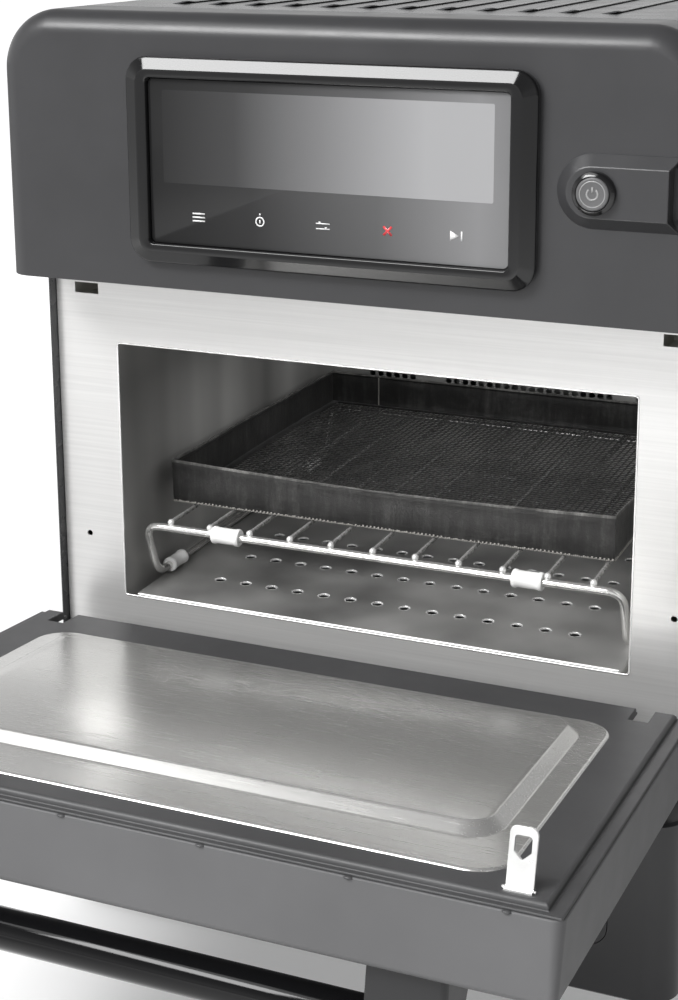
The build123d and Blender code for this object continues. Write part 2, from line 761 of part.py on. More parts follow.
# ---------------------------------------------------------------- door
shell_depth = door_face - rim_face
with BuildPart() as door_shell:
    with BuildSketch(on_door(rim_face)):
        with Locations((0, door_mid)):
            RectangleRounded(body_width, door_height, door_corner)
    extrude(amount=shell_depth, taper=door_draft)
    fillet(door_shell.faces().sort_by(outwards)[-1].edges(), 4)
    with BuildSketch(on_door(rim_face)):
        with Locations((0, door_mid)):
            Rectangle(body_width - 2 * door_wall, door_height - 2 * door_wall)
    extrude(amount=shell_depth - door_wall, taper=door_draft, mode=Mode.SUBTRACT)
    # the hinge edge is cut back so that it swings clear of the stainless front
    with BuildSketch(beside_door(-half)):
        with BuildLine():
            Polyline(
                (-hinge_up - 1, rim_face - 1),
                (frame_hinge_edge - 4, rim_face - 1),
                (frame_hinge_edge - 4, rim_face),
                (-hinge_up - 1, rim_face + 15),
                close=True,
            )
        make_face()
    extrude(amount=body_width, mode=Mode.SUBTRACT)
    # slots for the hinge lugs in the hinge edge
    with BuildSketch(on_door(rim_face)):
        with Locations((0, -hinge_up)):
            with GridLocations(2 * hinge_x, 0, 2, 1):
                Rectangle(lug_width + 2, 4 * door_wall)
    extrude(amount=lug_half - rim_face - 0.5, mode=Mode.SUBTRACT)
save(door_shell, "door_shell")

frame_top = door_height - hinge_up - 4
pan_span = (cavity_z + pan_low - hinge_z, cavity_z + pan_high - hinge_z)
window_inset = 6.0
with BuildPart() as door_frame:
    with BuildSketch(on_door(rim_face)):
        low, high = frame_hinge_edge - 3, door_height - hinge_up - 0.8
        with Locations((0, (low + high) / 2)):
            Rectangle(body_width - 1.6, high - low)
    extrude(amount=-frame_sheet)
    with BuildSketch(on_door(rim_face - frame_sheet)):
        with Locations((0, (frame_hinge_edge + frame_top) / 2)):
            Rectangle(body_width - 2 * frame_inset, frame_top - frame_hinge_edge)
    extrude(amount=-(rim_step - frame_sheet))
    fillet(door_frame.faces().sort_by(outwards)[0].edges(), 2.5)
    with BuildSketch(on_door(rim_face)):
        with Locations((0, sum(pan_span) / 2)):
            RectangleRounded(
                pan_width - 2 * window_inset,
                pan_span[1] - pan_span[0] - 2 * window_inset,
                pan_corner - window_inset,
            )
    extrude(amount=-rim_step, mode=Mode.SUBTRACT)
    with BuildSketch(on_door(rim_face)):
        with Locations((0, (low + hinge_notch_up) / 2)):
            with GridLocations(2 * hinge_x, 0, 2, 1):
                Rectangle(hinge_notch, hinge_notch_up - low)
    extrude(amount=-rim_step, mode=Mode.SUBTRACT)
save(door_frame, "door_frame")

emboss_low = cavity_z + emboss_gap - hinge_z
emboss_high = cavity_top - emboss_gap - hinge_z
emboss_half = cavity_width / 2 - emboss_gap
pan_face = frame_face - pan_sheet
with BuildPart() as door_pan:
    with BuildSketch(on_door(frame_face)):
        with Locations((0, sum(pan_span) / 2)):
            RectangleRounded(pan_width, pan_span[1] - pan_span[0], pan_corner)
    extrude(amount=-pan_sheet)
    slope = degrees(atan(emboss_slope / emboss_height))
    for sheet, mode in ((0, Mode.ADD), (pan_sheet, Mode.SUBTRACT)):
        with BuildSketch(on_door(pan_face + (pan_sheet if sheet else 0))):
            with Locations((0, (emboss_low + emboss_high) / 2)):
                RectangleRounded(
                    2 * (emboss_half - sheet), emboss_high - emboss_low - 2 * sheet, pan_corner - sheet
                )
        extrude(amount=-emboss_height, taper=slope, mode=mode)
save(door_pan, "door_pan")

with BuildPart() as door_insulation:
    with BuildSketch(on_door(door_face - door_wall - fit)):
        with Locations((0, sum(pan_span) / 2)):
            Rectangle(choke_inner - 2 * fit, pan_span[1] - pan_span[0] - choke_band - 2 * fit)
    extrude(amount=-(door_face - door_wall - frame_face - 2 * fit))
    fillet(door_insulation.edges().filter_by(outwards), pan_corner - window_inset)
save(door_insulation, "door_insulation")

# a folded channel round the pan keeps the microwaves in
with BuildPart() as door_choke:
    span = pan_span[1] - pan_span[0]
    with BuildSketch(on_door(rim_face)):
        with Locations((0, sum(pan_span) / 2)):
            Rectangle(pan_width, span)
            Rectangle(choke_inner, span - choke_band, mode=Mode.SUBTRACT)
    extrude(amount=choke_depth)
    with BuildSketch(on_door(rim_face)):
        with Locations((0, sum(pan_span) / 2)):
            Rectangle(pan_width - 2 * pan_sheet, span - 2 * pan_sheet)
            Rectangle(
                choke_inner + 2 * pan_sheet, span - choke_band + 2 * pan_sheet, mode=Mode.SUBTRACT
            )
    extrude(amount=choke_depth - pan_sheet, mode=Mode.SUBTRACT)
save(door_choke, "door_choke")

# ---------------------------------------------------------------- latch
hook_up = latch_z - hinge_z
hook_tip = frame_face - hook_length
for name, side in (("left", -1), ("right", 1)):
    with BuildPart() as latch_hook:
        with BuildSketch(beside_door(side * latch_x - hook_width / 2)):
            with BuildLine():
                Polyline(
                    (hook_up - hook_sheet / 2, frame_face),
                    (hook_up + hook_sheet / 2, frame_face),
                    (hook_up + hook_sheet / 2 - hook_lean, hook_tip),
                    (hook_up - hook_sheet / 2 - hook_lean, hook_tip),
                    close=True,
                )
            make_face()
        extrude(amount=hook_width)
        fillet(latch_hook.faces().sort_by(outwards)[0].edges().filter_by(up_door, tolerance=10), 4)
        # the eye that the interlock's pawl drops into
        with BuildSketch(across_door(hook_up - 8)):
            with Locations((side * latch_x, -frame_face + 12)):
                SlotOverall(11, 7, rotation=90)
        extrude(amount=16, mode=Mode.SUBTRACT)
        with BuildSketch(on_door(frame_face)):
            with Locations((side * latch_x, hook_up)):
                Rectangle(hook_width, 7)
        extrude(amount=-1.6)
    save(latch_hook, f"latch_hook_{name}")

# ---------------------------------------------------------------- handle
grip_z = door_face + grip_out
bracket_edge = (grip_up - grip_foot[0], grip_up + grip_foot[1])
for name, side in (("left", -1), ("right", 1)):
    inner = side * grip_clear / 2
    with BuildPart() as handle_bracket:
        with BuildSketch(beside_door(inner)):
            with Locations((grip_up, grip_z)):
                Circle(grip_r + grip_wall)
            with Locations((sum(bracket_edge) / 2, door_face + grip_foot[2] / 2)):
                Rectangle(bracket_edge[1] - bracket_edge[0], grip_foot[2])
            make_hull()
        extrude(amount=side * grip_bracket)
        with BuildSketch(beside_door(inner)):
            with Locations((grip_up, grip_z)):
                Circle(grip_r)
        extrude(amount=side * grip_seat, mode=Mode.SUBTRACT)
        outer_face = handle_bracket.faces().sort_by(Axis.X)[-1 if side > 0 else 0]
        chamfer(outer_face.outer_wire().edges().sort_by(outwards)[1:], grip_edge)
    save(handle_bracket, f"handle_bracket_{name}")

with BuildPart() as handle_grip:
    with BuildSketch(beside_door(-grip_clear / 2 - grip_seat)):
        with Locations((grip_up, grip_z)):
            Circle(grip_r)
    extrude(amount=grip_clear + 2 * grip_seat)
save(handle_grip, "handle_grip")

# ---------------------------------------------------------------- hinges
channel_half = lug_width / 2 + channel_play + channel_sheet
web_z = door_face - door_wall
channel_up = (-12.0, 40.0)
bracket_plate = (30.0, 50.0)
bracket_sheet = 2.0
for name, side in (("left", -1), ("right", 1)):
    middle_x = side * hinge_x
    with BuildPart() as hinge_bracket:
        with BuildSketch(at_x(middle_x - lug_width / 2)):
            with Locations((hinge_y, hinge_z)):
                Circle(lug_half)
            with Locations(((hinge_y + liner_front) / 2, hinge_z)):
                Rectangle(liner_front - hinge_y, 2 * lug_half)
            with Locations((hinge_y, hinge_z)):
                Circle(hinge_pin_r + running, mode=Mode.SUBTRACT)
        extrude(amount=lug_width)
        block(
            (middle_x - bracket_plate[0] / 2, middle_x + bracket_plate[0] / 2),
            (liner_front, liner_front + bracket_sheet),
            (hinge_z - bracket_plate[1] / 2 - 10, hinge_z + bracket_plate[1] / 2 - 10),
        )
    save(hinge_bracket, f"hinge_bracket_{name}")

    with BuildPart() as hinge_channel:
        with BuildSketch(beside_door(middle_x - channel_half)):
            with BuildLine():
                Polyline(
                    (channel_up[0], web_z),
                    (channel_up[1], web_z),
                    (channel_up[1], web_z - 6),
                    (hinge_notch_up, -11.5),
                    (channel_up[0] + 4, -11.5),
                    (channel_up[0], -5),
                    close=True,
                )
            make_face()
        extrude(amount=2 * channel_half)
        with BuildSketch(beside_door(middle_x - channel_half + channel_sheet)):
            with Locations((sum(channel_up) / 2, web_z - channel_sheet)):
                Rectangle(80, 60, align=(Align.CENTER, Align.MAX))
        extrude(amount=lug_width + 2 * channel_play, mode=Mode.SUBTRACT)
        with BuildSketch(beside_door(middle_x - channel_half)):
            Circle(hinge_pin_r)
        extrude(amount=2 * channel_half, mode=Mode.SUBTRACT)
    save(hinge_channel, f"hinge_channel_{name}")

with BuildPart() as hinge_pins:
    for side in (-1, 1):
        with BuildSketch(beside_door(side * hinge_x - channel_half - 1)):
            Circle(hinge_pin_r)
        extrude(amount=2 * channel_half + 2)
save(hinge_pins, "hinge_pins")

# ---------------------------------------------------------------- interlock
housing_z = (latch_z - 8.0, latch_z + 10.0)
housing_y = (liner_front, front_y + 40)
pocket_z = (latch_z - 6.0, latch_z + 5.0)
for name, side in (("left", -1), ("right", 1)):
    middle_x = side * latch_x
    with BuildPart() as latch_housing:
        block((middle_x - 14, middle_x + 14), housing_y, housing_z)
        block(
            (middle_x - slot_w / 2, middle_x + slot_w / 2),
            (housing_y[0], front_y + 26),
            pocket_z,
            mode=Mode.SUBTRACT,
        )
    save(latch_housing, f"latch_housing_{name}")

with BuildPart() as interlock_switches:
    for side in (-1, 1):
        block(
            (side * latch_x - 10, side * latch_x + 10),
            (front_y + 12, front_y + 40),
            (housing_z[1], housing_z[1] + 16),
        )
save(interlock_switches, "interlock_switches")

# ---------------------------------------------------------------- convection fan
fan_z = (cavity_z + cavity_top) / 2
plenum_y = (cavity_back + cavity_sheet, cavity_back + plenum_depth)
plenum_half = cavity_width / 2 - plenum_side
shaft_r = 5.0
coil_r = impeller_r + 9.0
tail_r = 3.2
tail_x = 24.0
tail_z = fan_z - coil_r * cos(radians(20))
with BuildPart() as fan_plenum:
    block((-plenum_half, plenum_half), plenum_y, (liner_low, liner_high))
    block(
        (-plenum_half + cavity_sheet, plenum_half - cavity_sheet),
        (plenum_y[0], plenum_y[1] - cavity_sheet),
        (cavity_floor, cavity_top),
        mode=Mode.SUBTRACT,
    )
    with BuildSketch(at_y(plenum_y[1])):
        with Locations((0, fan_z)):
            Circle(shaft_r + 3)
        for x in (-tail_x, tail_x):
            with Locations((x, tail_z)):
                Circle(tail_r + touch)
    extrude(amount=cavity_sheet, mode=Mode.SUBTRACT)
save(fan_plenum, "fan_plenum")

impeller_y = cavity_back + 12.0
with BuildPart() as convection_impeller:
    with BuildSketch(at_y(impeller_y + impeller_width)):
        with Locations((0, fan_z)):
            Circle(impeller_r)
    extrude(amount=1.5)
    with BuildSketch(at_y(impeller_y + impeller_width)):
        with Locations((0, fan_z)):
            with PolarLocations(impeller_r - 14, impeller_blades):
                Rectangle(26, 1.2, rotation=35)
            Circle(11)
    extrude(amount=impeller_width)
    with BuildSketch(at_y(impeller_y + impeller_width)):
        with Locations((0, fan_z)):
            Circle(shaft_r)
    extrude(amount=impeller_width, mode=Mode.SUBTRACT)
save(convection_impeller, "convection_impeller")

motor_y = (plenum_y[1] + touch, plenum_y[1] + 68.0)
with BuildPart() as convection_shaft:
    with BuildSketch(at_y(motor_y[1] - 20)):
        with Locations((0, fan_z)):
            Circle(shaft_r)
    extrude(amount=motor_y[1] - 20 - impeller_y)
save(convection_shaft, "convection_shaft")

with BuildPart() as convection_motor:
    block((-55, 55), (motor_y[0], motor_y[0] + 3), (fan_z - 55, fan_z + 55))
    with BuildSketch(at_y(motor_y[1])):
        with Locations((0, fan_z)):
            Circle(42)
    extrude(amount=motor_y[1] - motor_y[0])
    with BuildSketch(at_y(motor_y[1] - 15)):
        with Locations((0, fan_z)):
            Circle(shaft_r + running)
    extrude(amount=motor_y[1] - motor_y[0], mode=Mode.SUBTRACT)
save(convection_motor, "convection_motor")

with BuildPart() as heater_coil:
    with BuildSketch(Plane.YZ):
        with Locations((impeller_y + 14, fan_z + coil_r)):
            RegularPolygon(tail_r + 0.3, 6)
    revolve(axis=Axis((0, 0, fan_z), (0, 1, 0)))
    # tails out through the plenum's back
    for x in (-tail_x, tail_x):
        with BuildSketch(at_y(plenum_y[1] + 14)):
            with Locations((x, tail_z)):
                RegularPolygon(tail_r, 8)
        extrude(amount=plenum_y[1] - impeller_y)
save(heater_coil, "heater_coil")

# ---------------------------------------------------------------- cooling fan
blower_y = front_y + cooling_fan_y
blower_z = chassis_floor + touch + cooling_fan_size / 2
throat_r = cooling_fan_size / 2 - 3
rotor_y = (blower_y + 5.0, blower_y + 27.0)
with BuildPart() as cooling_fan_housing:
    with BuildSketch(at_y(blower_y + cooling_fan_depth)):
        with Locations((cooling_fan_x, blower_z)):
            RectangleRounded(cooling_fan_size, cooling_fan_size, 5)
            Circle(throat_r, mode=Mode.SUBTRACT)
    extrude(amount=cooling_fan_depth)
    with BuildSketch(at_y(blower_y + cooling_fan_depth)):
        with Locations((cooling_fan_x, blower_z)):
            Circle(22)
            Rectangle(2 * throat_r + 1, 6, rotation=45)
            Rectangle(2 * throat_r + 1, 6, rotation=-45)
    extrude(amount=cooling_fan_depth - 30)
save(cooling_fan_housing, "cooling_fan_housing")

with BuildPart() as cooling_fan_rotor:
    with BuildSketch(at_y(rotor_y[1])):
        with Locations((cooling_fan_x, blower_z)):
            Circle(22)
    extrude(amount=rotor_y[1] - rotor_y[0])
    for blade in range(cooling_blades):
        turn = Location((cooling_fan_x, (rotor_y[0] + rotor_y[1]) / 2, blower_z))
        turn *= Location((0, 0, 0), (0, 360 * blade / cooling_blades, 0))
        with Locations(turn * Location((throat_r / 2 + 8, 0, 0), (40, 0, 0))):
            Box(throat_r - 18, 1.8, 26)
save(cooling_fan_rotor, "cooling_fan_rotor")

# ---------------------------------------------------------------- microwave supply
guide_top = liner_high + 70
guide_back = guide_y + guide[1] / 2
antenna_z = liner_high + 46
with BuildPart() as waveguide:
    block(
        (-guide[0] / 2 - 1.2, guide[0] / 2 + 1.2),
        (guide_y - guide[1] / 2 - 1.2, guide_back + 1.2),
        (liner_high, guide_top),
    )
    block(
        (-guide[0] / 2, guide[0] / 2),
        (guide_y - guide[1] / 2, guide_back),
        (liner_high, guide_top - 1.2),
        mode=Mode.SUBTRACT,
    )
    with BuildSketch(at_y(guide_back + 1.2)):
        with Locations((0, antenna_z)):
            Circle(11)
    extrude(amount=1.2, mode=Mode.SUBTRACT)
save(waveguide, "waveguide")

with BuildPart() as magnetron:
    magnetron_y = guide_back + 1.2 + touch
    block((-46, 46), (magnetron_y, magnetron_y + 2), (antenna_z - 24, antenna_z + 38))
    block((-36, 36), (magnetron_y, magnetron_y + 80), (antenna_z - 22, antenna_z + 36))
    with BuildSketch(at_y(magnetron_y)):
        with Locations((0, antenna_z)):
            Circle(9)
    extrude(amount=22)
save(magnetron, "magnetron")

core_x, core_y, core_z = 110.0, front_y + 240, chassis_floor + touch
core = (96.0, 50.0, 80.0)  # across, deep, high
core_window = (18.0, 48.0)
core_leg = 30.0
window_at = core_leg + core_window[0]
with BuildPart() as transformer_core:
    with BuildSketch(at_y(core_y + core[1] / 2)):
        with Locations((core_x, core_z + core[2] / 2)):
            Rectangle(core[0], core[2])
            with GridLocations(window_at, 0, 2, 1):
                Rectangle(*core_window, mode=Mode.SUBTRACT)
    extrude(amount=core[1])
save(transformer_core, "transformer_core")

winding_heights = ((-22.5, -2.0), (2.0, 22.5))
winding_out = 32.0  # wider than the core by this much
winding_corner = 8.0
with BuildPart() as transformer_windings:
    for low, high in winding_heights:
        with BuildSketch(Plane.XY.offset(core_z + core[2] / 2 + low)):
            with Locations((core_x, core_y)):
                RectangleRounded(window_at + core_window[0] - fit, core[1] + winding_out, winding_corner)
                Rectangle(core_leg + fit, core[1] + fit, mode=Mode.SUBTRACT)
        extrude(amount=high - low)
save(transformer_windings, "transformer_windings")

capacitor = (56.0, 34.0, 92.0)
terminal = (6.0, 8.0, 12.0)
terminal_x = 12.0
terminal_z = chassis_floor + touch + capacitor[2] + terminal[2] / 2
with BuildPart() as hv_capacitor:
    with BuildSketch(Plane.XY.offset(chassis_floor + touch)):
        with Locations((0, core_y)):
            SlotOverall(capacitor[0], capacitor[1])
    extrude(amount=capacitor[2])
    with Locations((-terminal_x, core_y, terminal_z), (terminal_x, core_y, terminal_z)):
        Box(*terminal)
save(hv_capacitor, "hv_capacitor")

board_post = 10.0
board_z = liner_high + insulation + board_post
board_top = board_z + 1.6
board_x = (-180.0, -70.0)
board_y = (front_y + 240.0, front_y + 350.0)
board_post_r = 3.0
board_post_pitch = 96.0
relay_x = (-160.0, -125.0, -90.0)
relay_half = 11.0
relay_y = (front_y + 255.0, front_y + 283.0)
relay_top = board_z + 19.0
filter_x = (-170.0, -130.0)
filter_y = (front_y + 300.0, front_y + 335.0)
filter_top = board_z + 26.0
with BuildPart() as relay_board:
    block(board_x, board_y, (board_z, board_top))
    with Locations((sum(board_x) / 2, sum(board_y) / 2, board_z)):
        with GridLocations(board_post_pitch, board_post_pitch, 2, 2):
            Cylinder(board_post_r, board_post - touch, align=(Align.CENTER, Align.CENTER, Align.MAX))
    for x in relay_x:
        block((x - relay_half, x + relay_half), relay_y, (board_top, relay_top))
    block(filter_x, filter_y, (board_top, filter_top))
save(relay_board, "relay_board")

# ---------------------------------------------------------------- feet
foot_x = 160.0
foot_y = (front_y + 45, back_y - 45)
foot_r = 18.0
foot_taper = 6.0  # degrees
for depth_name, y in zip(("front", "back"), foot_y):
    for name, side in (("left", -1), ("right", 1)):
        with BuildPart() as foot:
            with BuildSketch(Plane.XY.offset(foot_height)):
                with Locations((side * foot_x, y)):
                    RegularPolygon(foot_r, 16)
            extrude(amount=-foot_height, taper=foot_taper)
        save(foot, f"foot_{depth_name}_{name}")
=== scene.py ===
"""A counter-top rapid-cook oven with its door down, dressed for looking at.

Every length is in metres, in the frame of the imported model: +X to the user's right, +Y into the
oven, +Z up.  Each operator dresses one group of pieces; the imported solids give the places.
"""
import json
from math import cos, pi, radians, sin

import bmesh
import bpy
from bpy.props import FloatProperty, FloatVectorProperty, IntProperty, PointerProperty
from bpy.types import Operator, Panel, PropertyGroup
from mathutils import Euler, Matrix, Vector

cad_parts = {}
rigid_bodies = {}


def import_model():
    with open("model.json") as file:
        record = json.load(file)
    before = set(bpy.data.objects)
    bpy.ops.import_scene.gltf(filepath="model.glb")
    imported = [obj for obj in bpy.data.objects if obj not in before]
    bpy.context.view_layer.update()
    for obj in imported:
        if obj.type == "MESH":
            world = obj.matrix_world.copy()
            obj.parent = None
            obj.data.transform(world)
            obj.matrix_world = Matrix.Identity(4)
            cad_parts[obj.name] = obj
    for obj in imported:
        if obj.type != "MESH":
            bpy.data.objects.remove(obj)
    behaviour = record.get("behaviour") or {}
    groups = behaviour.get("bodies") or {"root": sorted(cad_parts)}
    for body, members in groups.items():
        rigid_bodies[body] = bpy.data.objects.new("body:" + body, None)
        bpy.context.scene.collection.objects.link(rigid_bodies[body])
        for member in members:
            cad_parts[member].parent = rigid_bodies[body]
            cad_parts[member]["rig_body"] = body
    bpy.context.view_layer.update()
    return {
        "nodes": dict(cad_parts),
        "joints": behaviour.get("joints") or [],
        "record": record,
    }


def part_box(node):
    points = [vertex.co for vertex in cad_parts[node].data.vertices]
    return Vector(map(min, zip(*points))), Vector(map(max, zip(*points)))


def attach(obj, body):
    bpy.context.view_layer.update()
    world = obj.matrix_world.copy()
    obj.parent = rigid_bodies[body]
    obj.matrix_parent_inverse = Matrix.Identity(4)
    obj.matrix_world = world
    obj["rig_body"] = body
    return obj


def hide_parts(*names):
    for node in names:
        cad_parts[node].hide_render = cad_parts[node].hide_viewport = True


bl_info = {
    "name": "Rapid-cook oven",
    "version": (1, 0, 0),
    "blender": (4, 5, 0),
    "location": "View3D > Sidebar > Oven",
    "description": "Dresses a counter-top rapid-cook oven with detailed pieces and materials",
    "category": "Object",
}

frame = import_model()
record = frame["record"]
hinge = next(j for j in frame["joints"] if j["name"] == "door_hinge")
HINGE_POINT = Vector(hinge["pos_m"])
DOOR_OPEN = radians(-hinge["range_deg"][0])
# the door's own directions: across, up the door and outwards
DOOR_FRAME = Matrix.Translation(HINGE_POINT) @ Matrix.Rotation(pi / 2 + DOOR_OPEN, 4, "X")
SLOTS = {part["node"]: part["material_slot"] for part in record["subparts"]}

MM = 0.001
WHITE = (1, 1, 1, 1)
CAMERA_PLACE = (0.3772, -1.0432, 0.622)
CAMERA_DOWN, CAMERA_LEFT = 13.653, 22.208  # degrees
FLOOR_SHADE = 0.8
FLOOR_GLOW, FLOOR_FAR_GLOW = 0.22, 0.85
FLOOR_SHEEN = 0.45
# DIM_SPOT and DIM_REACH place a painted shade on the floor, seen only in reflections
DIM_SPOT, DIM_REACH = (-0.62, -0.85, 0), (0.15, 0.65)  # where the studio is dimmer, and how far
DISPLAY_HALF = 103 * MM
LOUVRE_LIP = 4 * MM  # how far the solid's louvres rise
LOUVRE_SHIFT = 6 * MM  # from a louvre's highest line to the middle of its tongue
FASCIA_ROUND = 14 * MM  # radius down the fascia's front corners
PAD_RISE = 5.5 * MM  # the pad under the button stands this far out of the fascia
PAD_FOOT, PAD_TOP = 38.2 * MM, 25.7 * MM  # its height at the fascia and at its face
PAD_ROOT = 5.4 * MM  # how far it reaches back into the fascia
PAD_LEFT = 57.4 * MM  # from the fascia's right side to the middle of its round end
PAD_BORE = 9.6 * MM
OPENING_SIDE, OPENING_LOW, OPENING_HIGH = 160 * MM, 203 * MM, 364 * MM
made = {}  # materials, by slot or by use


# ---------------------------------------------------------------- settings
def colour_setting(name, description, default):
    return FloatVectorProperty(
        name=name, description=description, subtype="COLOR", size=3, min=0, max=1, default=default,
    )


def length_setting(name, description, low, high, default):
    return FloatProperty(
        name=name, description=description, unit="LENGTH", min=low, max=high, default=default,
    )


class CasingLook(PropertyGroup):
    """Colours of the painted and moulded outside."""

    paint: colour_setting("Casing paint", "Colour of the casing's powder coat", (0.062, 0.063, 0.066))
    plastic: colour_setting("Fascia plastic", "Colour of the moulded fascias", (0.039, 0.039, 0.041))
    door_paint: colour_setting("Door paint", "Colour of the door's outer shell", (0.14, 0.14, 0.143))
    edge_radius: length_setting(
        "Edge radius", "Soft radius on the edges of folded and moulded pieces", 0.0001, 0.002, 0.0005,
    )


class SteelLook(PropertyGroup):
    """The stainless pieces."""

    front: colour_setting("Front steel", "Colour of the brushed front plate", (0.74, 0.736, 0.728))
    cavity: colour_setting("Cavity steel", "Colour of the cavity's walls", (0.52, 0.517, 0.505))
    grain: length_setting("Grain strength", "Depth of the brushed grain", 0, 0.001, 0.00001)


class RackLook(PropertyGroup):
    """The wire rack and the basket."""

    wire_radius: length_setting(
        "Frame wire radius", "Radius of the rack's frame wire", 0.001, 0.004, 0.0025,
    )
    cross_radius: length_setting(
        "Cross wire radius", "Radius of the rack's cross wires", 0.001, 0.003, 0.00135,
    )
    mesh_pitch: length_setting(
        "Mesh pitch", "Distance between the basket's mesh strands", 0.002, 0.01, 0.004,
    )
    mesh_strand: length_setting("Strand width", "Width of one strand of the mesh", 0.0003, 0.003, 0.0011)


class DisplayLook(PropertyGroup):
    """The touch display."""

    mark_count: IntProperty(
        name="Touch marks", description="Number of touch marks under the screen", min=1, max=7, default=5,
    )
    stop_colour: colour_setting("Stop mark", "Colour of the stop mark", (0.62, 0.04, 0.05))


# ---------------------------------------------------------------- materials
class Nodes:
    """A tree of shader nodes, and short ways to add to it."""

    def __init__(self, tree):
        self.tree = tree

    def node(self, kind, sockets=(), **settings):
        """A node with its settings, and its sockets set or linked."""
        added = self.tree.nodes.new("ShaderNode" + kind)
        for name, value in settings.items():
            setattr(added, name, value)
        for name, value in dict(sockets).items():
            if isinstance(value, bpy.types.NodeSocket):
                self.tree.links.new(value, added.inputs[name])
            else:
                added.inputs[name].default_value = value
        return added

    def maths(self, operation, *values):
        """Arithmetic on numbers or outputs."""
        return self.node("Math", enumerate(values), operation=operation).outputs[0]

    def spread(self, value, low, high, start=0.0, end=1.0):
        """A value between start and end, spread between low and high."""
        sockets = {"Value": value, "From Min": start, "From Max": end, "To Min": low, "To Max": high}
        return self.node("MapRange", sockets).outputs["Result"]

    def mix(self, factor, first, second):
        """A colour between two others; a mixing node has its colours at places 6 and 7."""
        return self.node("Mix", {0: factor, 6: first, 7: second}, data_type="RGBA").outputs[2]

    def ramp(self, value, *stops):
        """A colour ramp through (place, colour) stops."""
        ramp = self.node("ValToRGB", {"Fac": value})
        elements = ramp.color_ramp.elements
        while len(elements) < len(stops):
            elements.new(1.0)
        for element, (place, colour) in zip(elements, stops):
            element.position = place
            element.color = (*colour[:3], 1)
        return ramp.outputs["Color"]


class Surface(Nodes):
    """One procedural material: a shader and the nodes that feed it."""

    def __init__(self, name, colour, metallic=0.0, roughness=0.5, **sockets):
        self.material = bpy.data.materials.new(name)
        self.material.use_nodes = True
        super().__init__(self.material.node_tree)
        self.shader = self.tree.nodes["Principled BSDF"]
        self.roughness = roughness
        sockets |= {"Base_Color": (*colour[:3], 1), "Metallic": metallic, "Roughness": roughness}
        for socket, value in sockets.items():
            self.shader.inputs[socket.replace("_", " ")].default_value = value
        self.coords = self.node("TexCoord").outputs["Object"]

    def link(self, output, socket):
        self.tree.links.new(output, self.shader.inputs[socket])

    def placed(self, scale=(1, 1, 1)):
        """Object coordinates, stretched."""
        return self.node("Mapping", {"Vector": self.coords, "Scale": scale}).outputs[0]

    def noise(self, scale, detail=3, rough=0.55, stretch=(1, 1, 1)):
        """Noise of that many features a metre, stretched along the axes."""
        sockets = {"Vector": self.placed(stretch), "Scale": scale, "Detail": detail, "Roughness": rough}
        return self.node("TexNoise", sockets).outputs["Fac"]

    def tint(self, value, colour, darker, lighter):
        """Base colour that wanders between a darker and a lighter shade of one colour."""
        shades = ((0.3, darker), (0.7, lighter))
        self.shade(value, *((place, [c * much for c in colour[:3]]) for place, much in shades))

    def shade(self, value, *stops):
        """Base colour through the stops of a ramp."""
        self.link(self.ramp(value, *stops), "Base Color")

    def polish(self, value, less, more):
        """Roughness that wanders a little below and above the surface's own."""
        self.link(self.spread(value, self.roughness - less, self.roughness + more), "Roughness")

    def bump(self, *layers):
        """Bumps laid over each other, each a (height, depth in metres) pair."""
        normal = {}
        for height, depth in layers:
            sockets = {"Height": height, "Distance": depth, "Strength": 1.0, **normal}
            normal = {"Normal": self.node("Bump", sockets).outputs["Normal"]}
        self.link(normal["Normal"], "Normal")


def powder_coat(name, colour, roughness=0.42, shine=0.45):
    """Baked powder coat: a fine orange peel with a faint cloudiness."""
    s = Surface(name, colour, roughness=roughness, Specular_IOR_Level=shine)
    s.tint(s.noise(9, 4), colour, 0.9, 1.1)
    s.polish(s.noise(40, 4), 0.06, 0.08)
    s.bump((s.noise(1400, 2), 0.000006), (s.noise(3600, 2), 0.000005))
    return s.material


def moulded_plastic(name, colour, roughness=0.5, grain=1500, depth=0.00002):
    """Spark-textured moulded plastic."""
    s = Surface(name, colour, roughness=roughness, Specular_IOR_Level=0.42)
    s.tint(s.noise(14, 5), colour, 0.88, 1.12)
    s.polish(s.noise(60, 4), 0.05, 0.07)
    s.bump((s.noise(grain, 2), depth), (s.noise(6, 2), 0.0002))
    return s.material


def gloss_plastic(name, colour, roughness=0.08, shine=0.3, coat=0.2):
    """Polished plastic with the faintest ripple and a slightly uneven gloss."""
    gloss = {"Specular_IOR_Level": shine, "Coat_Weight": coat, "Coat_Roughness": 0.05}
    s = Surface(name, colour, roughness=roughness, **gloss)
    s.polish(s.noise(120, 6, 0.7), 0.03, 0.05)
    s.bump((s.noise(25, 2), 0.00004))
    return s.material


def brushed_steel(name, colour, grain, metallic, lines=900):
    """Brushed stainless: long fine streaks across the oven."""
    s = Surface(name, colour, metallic=metallic, roughness=0.3)
    across = (0.012, 1, 1)
    streaks = s.noise(lines, 4, 0.65, across)
    s.tint(s.noise(lines * 0.6, 3, 0.6, across), colour, 0.94, 1.04)
    s.polish(streaks, 0.06, 0.1)
    s.bump((streaks, grain), (s.noise(lines * 3, 2, 0.6, across), grain * 0.5))
    return s.material


def wiped_steel(name, colour, grain, roughness=0.34):
    """Cavity steel: fine upright grain under broad pale streaks left by wiping."""
    s = Surface(name, colour, metallic=0.5, roughness=roughness)
    fine, broad = s.noise(520, 4, 0.65, (1, 1, 0.03)), s.noise(15, 2, 0.5, (1, 1, 0.08))
    s.tint(broad, colour, 0.6, 1.5)
    s.polish(fine, 0.07, 0.12)
    s.bump((fine, grain), (broad, 0.0004))
    return s.material


